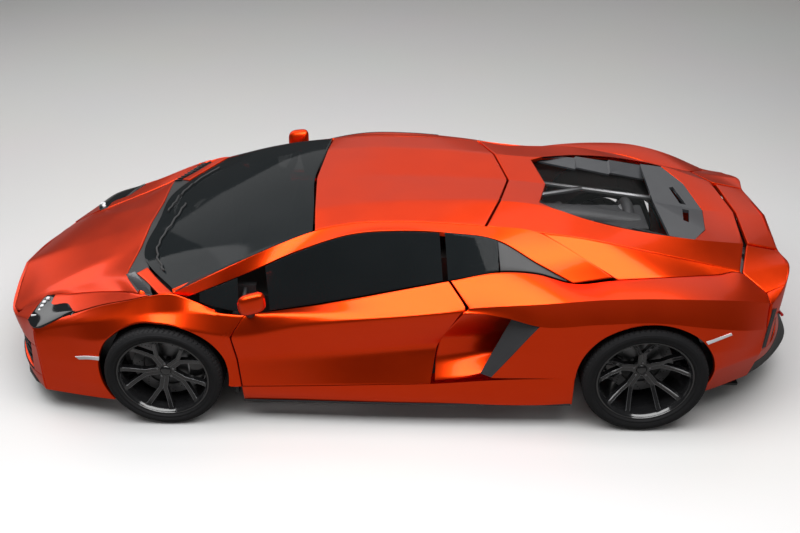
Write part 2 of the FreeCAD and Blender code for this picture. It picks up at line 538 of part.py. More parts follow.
def mirrored(shape):
    return shape.mirror(Vec(0, 0, 0), Vec(0, 1, 0))


def both(shape):
    return Part.makeCompound([shape, mirrored(shape)])


def grid_box(low_share, high_share):
    """An upright box between two grid places."""
    low, high = place(low_share), place(high_share)
    size = high - low
    return Part.makeBox(size.x, size.y, size.z, low)


def boxes(table):
    """The boxes of a table, each with its mirror image, as one solid."""
    halves = [grid_box(low, high) for low, high in table.values()]
    return fused(halves[0], *(halves[1:] + [mirrored(h) for h in halves]))


def prism(points, along):
    """A flat outline carried straight along a direction."""
    return Part.Face(Part.makePolygon(points + [points[0]])).extrude(along)


def outline_prism(name, along):
    """A named outline carried straight along a direction."""
    return prism([place(p) for p in outline_shares[name]], along)


def round_points(radius, y, x, z, sides):
    """A circle about a cross-car axis, as corners of a many-sided figure."""
    turns = [2 * math.pi * (i + 0.5) / sides for i in range(sides)]
    return [Vec(x + radius * math.sin(a), y, z + radius * math.cos(a)) for a in turns]


def cylinder_y(radius, y_from, y_to, x, z, sides=ROUND_SIDE_COUNT):
    return prism(round_points(radius, y_from, x, z, sides), Vec(0, y_to - y_from, 0))


def round_bar(radius, start, along, sides=HUB_SIDE_COUNT):
    """A many-sided bar of a given radius from a start point along a vector."""
    axis = Vec(along).normalize()
    first = Vec(1, 0, 0) if abs(axis.x) < abs(axis.y) + abs(axis.z) else Vec(0, 1, 0)
    first = axis.cross(first).normalize()
    second = axis.cross(first)
    turns = [2 * math.pi * (i + 0.5) / sides for i in range(sides)]
    return prism([start + first * radius * math.cos(a) + second * radius * math.sin(a) for a in turns], along)


def ring_y(outline, x, z, sides=ROUND_SIDE_COUNT):
    """An outline of (radius, y) pairs carried round a cross-car axis at x, z in flat steps."""
    rings = [round_points(radius, y, x, z, sides) for radius, y in outline]
    faces = []
    for a, b in zip(rings, rings[1:] + rings[:1]):
        for k in range(sides):
            n = (k + 1) % sides
            faces.append(Part.Face(Part.makePolygon([a[k], a[n], b[n], b[k], a[k]])))
    return solid_from(faces)


def seated(piece, *carriers):
    """The largest part of a piece that is left clear of what it stands against."""
    for carrier in carriers:
        piece = piece.cut(carrier)
    return max(piece.Solids, key=lambda s: s.Volume)


def trimmed(piece, *carriers):
    """Each solid of a piece, less what it stands against, without the slivers a cut leaves."""
    kept = []
    for solid in piece.Solids:
        rest = solid
        for carrier in carriers:
            rest = rest.cut(carrier)
        kept += [s for s in rest.Solids if s.Volume > SLIVER_SHARE * solid.Volume]
    return Part.makeCompound(kept)


def with_pegs(panel, name):
    """A lid with two round rubber stops that reach from its underside down to a flat seat."""
    seat = place(lid_peg_shares[name])
    line = Part.makeLine(Vec(seat.x, seat.y, 0), Vec(seat.x, seat.y, HEIGHT))
    under = panel.common(line).BoundBox.ZMin
    foot = seat.z + RUNNING_GAP
    rise = Vec(0, 0, under + PANEL_WALL / 2 - foot)
    peg = round_bar(STOP_RADIUS, Vec(seat.x, seat.y, foot), rise, PEG_SIDE_COUNT)
    return fused(panel, peg, mirrored(peg))


def fused(first, *others):
    return first.fuse(list(others)).removeSplitter()


nodes = {}

# Wheels: each is drawn on the right side about its axle and mirrored for the left.
WHEEL_ENDS = {
    "front": (FRONT_AXLE_X, FRONT_TYRE_RADIUS, FRONT_TYRE_WIDTH, FRONT_RIM_RADIUS, FRONT_HALF_TRACK,
              FRONT_DISC_RADIUS, FRONT_DISH),
    "rear": (REAR_AXLE_X, REAR_TYRE_RADIUS, REAR_TYRE_WIDTH, REAR_RIM_RADIUS, REAR_HALF_TRACK,
             REAR_DISC_RADIUS, REAR_DISH),
}


def make_tyre(x, radius, width, rim, track):
    inner, outer = track - width / 2, track + width / 2
    seat = rim - RIM_FLANGE
    outline = [(radius - TYRE_SHOULDER / 2, inner + TYRE_SHOULDER / 2), (radius, inner + 2 * TYRE_SHOULDER),
               (radius, outer - 2 * TYRE_SHOULDER), (radius - TYRE_SHOULDER / 2, outer - TYRE_SHOULDER / 2),
               (rim, outer - TYRE_SHOULDER / 2), (rim, outer - TYRE_BEAD_INSET),
               (seat, outer - TYRE_BEAD_INSET), (seat, inner + TYRE_BEAD_INSET),
               (rim, inner + TYRE_BEAD_INSET), (rim, inner + TYRE_SHOULDER / 2)]
    return ring_y(outline, x, radius)


def make_wheel(x, radius, width, rim, track, disc, dish):
    lip = track + width / 2 - TYRE_BEAD_INSET
    back = track - width / 2 + TYRE_BEAD_INSET
    seat = rim - RIM_FLANGE
    bore = seat - RIM_WALL
    barrel = ring_y([(seat, lip), (rim, lip), (rim, lip + RIM_WALL), (bore, lip + RIM_WALL),
                     (bore, back - RIM_WALL), (rim, back - RIM_WALL), (rim, back), (seat, back)], x, radius)
    face = lip - dish
    spoke = prism([Vec(x - SPOKE_WIDTH / 2, face, radius + HUB_RADIUS / 2),
                   Vec(x - SPOKE_WIDTH / 2, lip - RIM_WALL, radius + bore + RIM_WALL / 2),
                   Vec(x - SPOKE_WIDTH / 2, lip - RIM_WALL - SPOKE_DEPTH, radius + bore + RIM_WALL / 2),
                   Vec(x - SPOKE_WIDTH / 2, face - SPOKE_DEPTH, radius + HUB_RADIUS / 2)],
                  Vec(SPOKE_WIDTH, 0, 0))
    spokes = []
    for i in range(SPOKE_COUNT):
        for side in (-1, 1):
            arm = spoke.copy()
            arm.rotate(Vec(x, 0, radius), Vec(0, 1, 0), 360 * i / SPOKE_COUNT + side * SPOKE_SPLAY_DEG)
            spokes.append(arm)
    rotor_y = track - DISC_OFFSET
    hub = cylinder_y(HUB_RADIUS, rotor_y - DISC_THICKNESS, face, x, radius, HUB_SIDE_COUNT)
    rotor_face = rotor_y + DISC_THICKNESS / 2
    rotor = cylinder_y(disc, rotor_face - DISC_THICKNESS, rotor_face, x, radius, HUB_SIDE_COUNT)
    wheel = fused(barrel, hub, rotor, *spokes)
    bore = cylinder_y(STUB_RADIUS + 3 * RUNNING_GAP, rotor_y - 2 * DISC_THICKNESS, face - SPOKE_DEPTH, x, radius,
                      HUB_SIDE_COUNT)
    return wheel.cut(bore)


def make_caliper(x, radius, track, disc, turn_deg):
    """A curved block that bridges the rotor, open over its rim."""
    rotor_y = track - DISC_OFFSET
    half = DISC_THICKNESS / 2 + BRAKE_GAP
    outer = disc + BRAKE_GAP + CALIPER_WALL
    inner = disc - CALIPER_DEPTH
    span = half + CALIPER_WALL
    block = cylinder_y(outer, rotor_y - span, rotor_y + span, x, radius, HUB_SIDE_COUNT)
    block = block.cut(cylinder_y(inner, rotor_y - half - CUT_OVERRUN, rotor_y + half + CUT_OVERRUN, x, radius,
                                 HUB_SIDE_COUNT))
    block = block.cut(cylinder_y(disc + BRAKE_GAP, rotor_y - half, rotor_y + half, x, radius, HUB_SIDE_COUNT))
    reach = outer * 2
    rise = reach * math.tan(math.radians(CALIPER_HALF_SPAN_DEG))
    wedge = prism([Vec(x, rotor_y - 2 * outer, radius), Vec(x + reach, rotor_y - 2 * outer, radius - rise),
                   Vec(x + reach, rotor_y - 2 * outer, radius + rise)], Vec(0, 4 * outer, 0))
    wedge.rotate(Vec(x, 0, radius), Vec(0, 1, 0), turn_deg)
    return block.common(wedge)


def make_upright(x, radius, track, disc, carrier_y, turn_deg):
    """The post that carries the wheel's stub axle, with the brake caliper fixed to it."""
    rotor_y = track - DISC_OFFSET
    post = Part.makeBox(2 * UPRIGHT_HALF_LENGTH, UPRIGHT_THICKNESS, 2 * UPRIGHT_HALF_HEIGHT,
                        Vec(x - UPRIGHT_HALF_LENGTH, carrier_y - UPRIGHT_THICKNESS / 2,
                            radius - UPRIGHT_HALF_HEIGHT))
    stub = cylinder_y(STUB_RADIUS, carrier_y, rotor_y + DISC_THICKNESS, x, radius, HUB_SIDE_COUNT)
    boss_end = rotor_y - DISC_THICKNESS - RUNNING_GAP
    boss = cylinder_y(2 * STUB_RADIUS, carrier_y, boss_end, x, radius, HUB_SIDE_COUNT)
    caliper = make_caliper(x, radius, track, disc, turn_deg)
    bracket = Part.makeBox(disc, UPRIGHT_THICKNESS, 2 * STUB_RADIUS,
                           Vec(x, carrier_y - UPRIGHT_THICKNESS / 2, radius - STUB_RADIUS))
    tie = Part.makeBox(CALIPER_WALL, rotor_y - carrier_y - DISC_THICKNESS / 2 - BRAKE_GAP, 2 * STUB_RADIUS,
                       Vec(x + disc - 2 * CALIPER_WALL, carrier_y, radius - STUB_RADIUS))
    for piece in (bracket, tie):
        piece.rotate(Vec(x, 0, radius), Vec(0, 1, 0), turn_deg)
    return fused(post, stub, boss, bracket, tie, caliper)


for end, (x, radius, width, rim, track, disc, dish) in WHEEL_ENDS.items():
    tyre = make_tyre(x, radius, width, rim, track)
    wheel = make_wheel(x, radius, width, rim, track, disc, dish)
    nodes["tyre_" + end + "_right"], nodes["tyre_" + end + "_left"] = tyre, mirrored(tyre)
    nodes["wheel_" + end + "_right"], nodes["wheel_" + end + "_left"] = wheel, mirrored(wheel)

KINGPIN_Y = FRONT_HALF_TRACK - KINGPIN_INSET
REAR_CARRIER_Y = REAR_HALF_TRACK - REAR_CARRIER_INSET
kingpin = make_upright(FRONT_AXLE_X, FRONT_TYRE_RADIUS, FRONT_HALF_TRACK, FRONT_DISC_RADIUS, KINGPIN_Y, 0)
nodes["upright_front_right"], nodes["upright_front_left"] = kingpin, mirrored(kingpin)


def make_arm(x, z, tip_y):
    """A flat wishbone from the tub out to the upright, open in its middle."""
    low = z - ARM_THICKNESS / 2
    plate = prism([Vec(x - ARM_ROOT_HALF_WIDTH, ARM_ROOT_Y, low), Vec(x - ARM_TIP_HALF_WIDTH, tip_y, low),
                   Vec(x + ARM_TIP_HALF_WIDTH, tip_y, low), Vec(x + ARM_ROOT_HALF_WIDTH, ARM_ROOT_Y, low)],
                  Vec(0, 0, ARM_THICKNESS))
    inner_root = ARM_ROOT_HALF_WIDTH - ARM_THICKNESS
    window = prism([Vec(x - inner_root, ARM_ROOT_Y - CUT_OVERRUN, low),
                    Vec(x, tip_y - 2 * ARM_TIP_HALF_WIDTH, low),
                    Vec(x + inner_root, ARM_ROOT_Y - CUT_OVERRUN, low)], Vec(0, 0, ARM_THICKNESS))
    return plate.cut(window)


arms = []
for end, (x, radius, width, rim, track, disc, dish) in WHEEL_ENDS.items():
    carrier_y = KINGPIN_Y if end == "front" else REAR_CARRIER_Y
    reach = UPRIGHT_HALF_HEIGHT + RUNNING_GAP + ARM_THICKNESS / 2
    for side in (-1, 1):
        arms.append(make_arm(x, radius + side * reach, carrier_y + ARM_TIP_HALF_WIDTH))
    if end == "rear":
        arms.append(make_upright(x, radius, track, disc, carrier_y, 180))
nodes["suspension"] = Part.makeCompound(arms + [mirrored(a) for a in arms])

# Cabin tub, nose tub and engine bay frame
nodes["monocoque"] = boxes(tub_shares)
nodes["front_structure"] = boxes(nose_frame_shares)
braces = [seated(round_bar(BRACE_RADIUS, place(a), place(b) - place(a), PEG_SIDE_COUNT), nodes["monocoque"])
          for a, b in brace_shares]
rear_frame = fused(boxes(bay_shares), *(braces + [mirrored(b) for b in braces]))

lip = [Vec(p.x, p.y, GROUND_CLEARANCE) for p in places_row(tray_nose_shares, (0, 0, 1))[0]]
tail = place(tray_tail_share)
lip += [Vec(tail.x, tail.y, GROUND_CLEARANCE), Vec(tail.x, 0, GROUND_CLEARANCE)]
undertray = prism(lip, Vec(0, 0, place(tray_top_share).z - GROUND_CLEARANCE))
for x in (FRONT_AXLE_X, REAR_AXLE_X):
    undertray = undertray.cut(Part.makeBox(2 * FRONT_LINER_RADIUS, HALF_WIDTH, HEIGHT,
                                           Vec(x - FRONT_LINER_RADIUS, ARM_ROOT_Y, 0)))
undertray = fused(undertray, mirrored(undertray))

# The room each door needs in its opening
door_rows = panel_rows("door", DOOR_COLUMN_COUNT)
door_room = skin(door_rows, DOOR_WALL + SHUT_GAP)

# Luggage lid at the front, hinged at the windscreen end
bonnet = across(*panel_rows("bonnet"))
lid_room = skin(bonnet, PANEL_WALL + SHUT_GAP)
front_lid = skin(tucked(inset_rows(bonnet, LID_GAP, LID_GAP, SHUT_GAP)), PANEL_WALL)
nodes["front_lid"] = with_pegs(front_lid, "front_lid")

# Nose with its lamps and the two air openings
lamp_rows = patch_rows("headlamp")
lamp = seated(skin(inset_rows(lamp_rows, RUNNING_GAP, RUNNING_GAP, RUNNING_GAP), PANEL_WALL), lid_room)
nodes["headlamps"] = both(lamp)
lamp_room = prism([Vec(p.x, p.y, 0) for p in lamp_rows[0][0] + lamp_rows[1][0][::-1]], Vec(0, 0, HEIGHT))
nose = skin([fascia_row(name, nose_core_share) for name in ("nose_top", "nose_mid", "nose_low", "nose_lip")],
            PANEL_WALL)
nose = trimmed(nose, lid_room, lamp_room, outline_prism("nose_intake", span_of(nose_intake_reach_share)))
nodes["front_bumper"] = fused(nose, mirrored(nose))
nodes["undertray"] = seated(undertray, nodes["front_bumper"])


def arch_cut(x, z, radius):
    return cylinder_y(radius, ARM_ROOT_Y, HALF_WIDTH + CUT_OVERRUN, x, z + ARCH_RISE, ARCH_SIDE_COUNT)


# Front wings
wing_top = skin(panel_rows("wing_top", WING_TOP_COLUMN_COUNT), PANEL_WALL)
wing_side = skin(inset_rows(panel_rows("wing_side", LONG_COLUMN_COUNT), 0, RUNNING_GAP), PANEL_WALL)
wing_side = wing_side.cut(arch_cut(FRONT_AXLE_X, FRONT_TYRE_RADIUS, FRONT_ARCH_RADIUS))
wing_foot = skin(panel_rows("wing_foot", PATCH_COLUMN_COUNT), PANEL_WALL)
wing_foot = seated(wing_foot, arch_cut(FRONT_AXLE_X, FRONT_TYRE_RADIUS, FRONT_ARCH_RADIUS), *wing_side.Solids)
wing_top = seated(wing_top, wing_side)
wing = Part.makeCompound([wing_top, wing_foot] + wing_side.Solids)
wing = trimmed(wing, lamp_room, lid_room, door_room, nose)
nodes["front_wings"] = both(wing)

# Greenhouse
deck = across(*panel_rows("deck"))
deck_room = skin([([p + Vec(0, 0, SHUT_GAP) for p in points], inward) for points, inward in deck],
                 PANEL_WALL + 2 * SHUT_GAP)
rail = seated(skin(panel_rows("rail", RAIL_COLUMN_COUNT), RAIL_WALL), deck_room)
nodes["side_frames"] = both(rail)
roof = skin(across(*panel_rows("roof")), PANEL_WALL)
nodes["roof_panel"] = seated(roof, rail, mirrored(rail), deck_room)
windscreen = skin(crowned(across(*panel_rows("windscreen")), 2), GLASS_WALL)
nodes["windscreen"] = seated(windscreen, rail, mirrored(rail), nodes["roof_panel"])
scuttle = skin(across(*patch_rows("scuttle")), PANEL_WALL)
nodes["scuttle"] = seated(scuttle, wing, mirrored(wing), nodes["windscreen"], lid_room)


def fixed_pane(name, *carriers):
    """A pane of side glass drawn in from its frame and seated in what surrounds it."""
    rows = inset_rows(panel_rows(name, PATCH_COLUMN_COUNT), GLASS_EDGE_GAP, GLASS_EDGE_GAP, GLASS_EDGE_GAP)
    return seated(skin(rows, GLASS_WALL), *carriers)


# Rear quarters, each with the panel beside the engine lid and the ramp into its air intake
quarter_parts = [skin(panel_rows("quarter_front", PATCH_COLUMN_COUNT), PANEL_WALL)]
for name, columns in (("quarter_rear", LONG_COLUMN_COUNT), ("quarter_foot", PATCH_COLUMN_COUNT)):
    panel = skin(panel_rows(name, columns), PANEL_WALL)
    quarter_parts += panel.cut(arch_cut(REAR_AXLE_X, REAR_TYRE_RADIUS, REAR_ARCH_RADIUS)).Solids
quarter = trimmed(Part.makeCompound(quarter_parts), rail, door_room)
deck_side = seated(skin(panel_rows("deck_side"), PANEL_WALL), rail, deck_room, *quarter.Solids)

# Sills run from arch to arch as box sections and stand against the tub
sill = skin(panel_rows("sill"), SILL_DEPTH)
for x, z, radius in ((FRONT_AXLE_X, FRONT_TYRE_RADIUS, FRONT_ARCH_RADIUS),
                     (REAR_AXLE_X, REAR_TYRE_RADIUS, REAR_ARCH_RADIUS)):
    sill = sill.cut(arch_cut(x, z, radius))
sill = seated(sill, nodes["monocoque"], grid_box(*box_shares["sill_front_cut"]),
              grid_box(*box_shares["sill_rear_cut"]), *quarter.Solids)
nodes["side_sills"] = both(sill)

blade = seated(skin(patch_rows("intake_blade"), RAIL_WALL), *quarter.Solids, sill)
ramp = skin(patch_rows("intake_ramp"), DUCT_WALL)
ramp = seated(ramp, sill, blade, door_room, nodes["monocoque"], *quarter.Solids)
quarter = Part.makeCompound(quarter.Solids + [deck_side, ramp])
nodes["quarter_panels"] = both(quarter)
tail_mesh = grid_box(*grille_shares["tail_mesh"])
grille_parts = [blade] + [seated(grid_box(*grille_shares[name]), ramp)
                          for name in ("nose_radiator", "side_radiator")]
nodes["air_grilles"] = Part.makeCompound(grille_parts + [mirrored(g) for g in grille_parts]
                                         + [fused(tail_mesh, mirrored(tail_mesh))])

# Wheel housings
liners = []
for x, z, radius, carriers in (
        (FRONT_AXLE_X, FRONT_TYRE_RADIUS, FRONT_LINER_RADIUS, (wing, nodes["monocoque"], nodes["front_bumper"])),
        (REAR_AXLE_X, REAR_TYRE_RADIUS, REAR_LINER_RADIUS, (quarter, sill, rear_frame))):
    outer = radius + LINER_WALL
    ring = ring_y([(radius, ARM_ROOT_Y), (radius, HALF_WIDTH), (outer, HALF_WIDTH), (outer, ARM_ROOT_Y)],
                  x, z + ARCH_RISE, ARCH_SIDE_COUNT)
    low = z + ARCH_RISE + outer * math.cos(math.radians(LINER_HALF_SPAN_DEG))
    upper = Part.makeBox(4 * outer, HALF_WIDTH, HEIGHT, Vec(x - 2 * outer, 0, low))
    liners.append(seated(ring.common(upper), *carriers))
nodes["wheel_arch_liners"] = Part.makeCompound(liners + [mirrored(liner) for liner in liners])

# Tail
tail_rows = [fascia_row(name, tail_core_share) for name in ("tail_top", "tail_mid", "tail_low", "tail_lip")]
tail_skin = skin(tail_rows, PANEL_WALL)
lamp_prism = outline_prism("tail_lamp", span_of(tail_lamp_reach_share))
tail_wing = across(*patch_rows("tail_wing"))
wing_room = skin(tail_wing, PANEL_WALL + SHUT_GAP)
tail_lamp = seated(tail_skin.common(lamp_prism), *quarter.Solids)
bumper = trimmed(tail_skin, lamp_prism, wing_room, grid_box(*box_shares["tail_pipe_room"]),
                 grid_box(*box_shares["tail_opening"]), *quarter.Solids)
tail_corner = seated(skin(patch_rows("tail_corner"), PANEL_WALL), *bumper.Solids, *quarter.Solids, wing_room,
                     deck_room)
tail_halves = bumper.Solids + [tail_corner]
nodes["rear_bumper"] = fused(tail_halves[0], *(tail_halves[1:] + [mirrored(t) for t in tail_halves]))
nodes["tail_lamps"] = both(tail_lamp)
wing_panel = skin(inset_rows(tail_wing, SHUT_GAP, SHUT_GAP, SHUT_GAP), PANEL_WALL)
nodes["tail_wing"] = with_pegs(wing_panel, "tail_wing")
beam = seated(grid_box(*box_shares["tail_beam"]), *bumper.Solids)
nodes["rear_structure"] = fused(rear_frame, beam, mirrored(beam))
pipe = grid_box(*box_shares["tail_pipe"])
pipe_size = pipe.BoundBox
nodes["exhaust"] = pipe.cut(Part.makeBox(pipe_size.XLength, pipe_size.YLength - 2 * PIPE_WALL,
                                         pipe_size.ZLength - 2 * PIPE_WALL,
                                         Vec(pipe_size.XMin + 2 * RAIL_WALL, pipe_size.YMin + PIPE_WALL,
                                             pipe_size.ZMin + PIPE_WALL)))
diffuser = skin(patch_rows("diffuser"), DUCT_WALL)
fin_size = span_of(diffuser_fin_size_share)
fins = [Part.makeBox(fin_size.x, fin_size.y, fin_size.z, place(p)) for p in diffuser_fin_shares]
diffuser = fused(diffuser, *fins)
diffuser = seated(diffuser, *bumper.Solids, nodes["undertray"], *nodes["rear_structure"].Solids)
nodes["undertray"] = Part.makeCompound([nodes["undertray"], fused(diffuser, mirrored(diffuser))])

# Engine lid with its grey frame and window
lid = skin(inset_rows(deck, LID_GAP, LID_GAP, SHUT_GAP), PANEL_WALL)
half_window = outline_prism("lid_window", Vec(0, 0, 2 * HEIGHT))
lid = lid.cut(half_window).cut(mirrored(half_window))
nodes["engine_lid"] = with_pegs(lid, "engine_lid")
lid_band = skin(step_rows("lid_band", (0, 0, -1)), LOUVRE_WALL)
frame = fused(lid_band, skin(step_rows("lid_tail", (0, 0, -1)), PANEL_WALL))
frame = seated(frame.common(half_window), outline_prism("lid_slot", Vec(0, 0, 2 * HEIGHT)))
nodes["engine_lid_frame"] = fused(frame, mirrored(frame))
glass = skin(patch_rows("lid_glass", PANE_COLUMN_COUNT), GLASS_WALL).common(half_window)
glass = seated(glass, frame)
nodes["engine_lid_glass"] = fused(glass, mirrored(glass))

# Doors
pin_axis = Vec(0, 1, -DOOR_LEAN_SHARE)
pivot = place(door_pivot_share)
pin_in = pivot.y - place(tub_shares["hinge_post"][0]).y - 2 * PIN_RADIUS
pin_out = place(box_shares["door_hinge_block"][1]).y - pivot.y


def pivot_pin(radius, reach_in, reach_out):
    """A round pin on the door's tilted pivot line."""
    return round_bar(radius, pivot - pin_axis * reach_in, pin_axis * (reach_in + reach_out))


door_skin_rows = [(points, inward[:-1] + [inward[-1] * DOOR_END_WALL_SHARE])
                  for points, inward in inset_rows(door_rows, 0, DOOR_DROP_GAP, SHUT_GAP)]
door = skin(door_skin_rows, DOOR_WALL)
door = fused(door, grid_box(*box_shares["door_hinge_block"]))
door = door.cut(pivot_pin(PIN_RADIUS + 2 * RUNNING_GAP, pin_in, CUT_OVERRUN))
nodes["door_right"], nodes["door_left"] = door, mirrored(door)
pin = pivot_pin(PIN_RADIUS, pin_in, pin_out)
nodes["monocoque"] = fused(nodes["monocoque"], pin, mirrored(pin))
panes = [fixed_pane("triangle_glass", rail, wing, door_room, door),
         fixed_pane("quarter_glass", rail, *quarter.Solids)]
nodes["fixed_side_windows"] = Part.makeCompound(panes + [mirrored(pane) for pane in panes])
glass_rows = inset_rows(panel_rows("door_glass", PANE_COLUMN_COUNT), SHUT_GAP)
for (points, inward), shift in zip(glass_rows, (Vec(0, GLASS_STAND_OFF, 0), inward_of("belt") * GLASS_TUCK)):
    points[:] = [p + shift for p in points]
glass = seated(skin(glass_rows, GLASS_WALL), door)
nodes["door_glass_right"], nodes["door_glass_left"] = glass, mirrored(glass)
mirror = skin(patch_rows("mirror"), RAIL_WALL)
foot = seated(outline_prism("mirror_foot", span_of(mirror_foot_reach_share)), door)
mirror = fused(mirror, foot)
nodes["mirror_right"], nodes["mirror_left"] = mirror, mirrored(mirror)

# Cabin
def steering_ring(radius, depth, hub, rake_deg):
    """A many-sided rim with a boss, a bar and a column, faced to the driver."""
    section = [(radius - depth, 0), (radius, 0), (radius, depth), (radius - depth, depth)]
    rim = ring_y(section, 0, 0, HUB_SIDE_COUNT)
    boss = cylinder_y(radius / 3, -depth, depth / 2, 0, 0, HUB_SIDE_COUNT)
    bar = Part.makeBox(2 * radius - depth, depth / 2, depth * 2, Vec(depth / 2 - radius, depth / 4, -depth))
    column = cylinder_y(depth, depth / 2 - COLUMN_LENGTH, 0, 0, 0, HUB_SIDE_COUNT)
    wheel = fused(rim, boss, bar, column)
    wheel.rotate(Vec(0, 0, 0), Vec(0, 0, 1), -90)
    wheel.rotate(Vec(0, 0, 0), Vec(0, 1, 0), -rake_deg)
    wheel.translate(hub)
    return wheel


hub_point = place(steering_hub_share)
nodes["steering_wheel"] = steering_ring(STEERING_RADIUS, STEERING_RIM, hub_point, STEERING_RAKE_DEG)
column_axis = Vec(-math.cos(math.radians(STEERING_RAKE_DEG)), 0, -math.sin(math.radians(STEERING_RAKE_DEG)))
column_room = round_bar(STEERING_RIM + 3 * RUNNING_GAP, hub_point,
                        column_axis * (COLUMN_LENGTH + 2 * RUNNING_GAP), ROUND_SIDE_COUNT)
nodes["dashboard"] = seated(grid_box(*box_shares["dashboard"]), nodes["monocoque"], column_room)
seat_back = outline_prism("seat_back", span_of(seat_width_share))
nodes["seats"] = both(fused(grid_box(*box_shares["seat_base"]), seat_back))

# Engine: a plain heavy block with its heads, inlet runners and plenum, which show through the lid
head = outline_prism("cylinder_head", span_of(cylinder_head_reach_share))
runners = []
for i in range(INLET_RUNNER_COUNT):
    runner = outline_prism("inlet_runner", span_of(inlet_runner_reach_share))
    runner.translate(span_of(inlet_runner_pitch_share) * i)
    runners.append(runner)
upper = [head] + runners
nodes["engine"] = fused(boxes(engine_shares), *(upper + [mirrored(u) for u in upper]))

for name, shape in nodes.items():
    shape.exportStep("parts/" + name + ".step")
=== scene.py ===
import math
from collections import namedtuple
import bpy
import numpy as np
from mathutils import Matrix


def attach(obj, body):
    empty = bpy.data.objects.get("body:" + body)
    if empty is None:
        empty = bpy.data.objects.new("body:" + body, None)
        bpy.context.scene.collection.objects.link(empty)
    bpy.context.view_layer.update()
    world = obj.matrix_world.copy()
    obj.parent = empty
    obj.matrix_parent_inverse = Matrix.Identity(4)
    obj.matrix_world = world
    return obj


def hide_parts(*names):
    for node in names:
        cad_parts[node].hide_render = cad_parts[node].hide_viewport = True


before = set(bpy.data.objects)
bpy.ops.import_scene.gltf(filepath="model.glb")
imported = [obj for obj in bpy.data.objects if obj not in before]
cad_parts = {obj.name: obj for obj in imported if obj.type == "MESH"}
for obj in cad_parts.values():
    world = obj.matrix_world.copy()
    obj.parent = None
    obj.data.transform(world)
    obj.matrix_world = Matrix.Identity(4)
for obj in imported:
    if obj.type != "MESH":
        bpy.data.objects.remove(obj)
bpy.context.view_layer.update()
TURN = 2 * math.pi
SIDES = ((False, "right"), (True, "left"))
FORWARD, REARWARD, OUTWARD = (-1, 0, 0), (1, 0, 0), (0, 1, 0)
# In metres: a step of the feature lines, the x of the axles, a grid's usual step and the height over which
# the flank's creases are rounded
STEP, FRONT_AXLE, REAR_AXLE, GRID_STEP, CREASE_EASE = 0.1, -1.306, 1.394, 0.016, 0.008
TINY = 1e-12

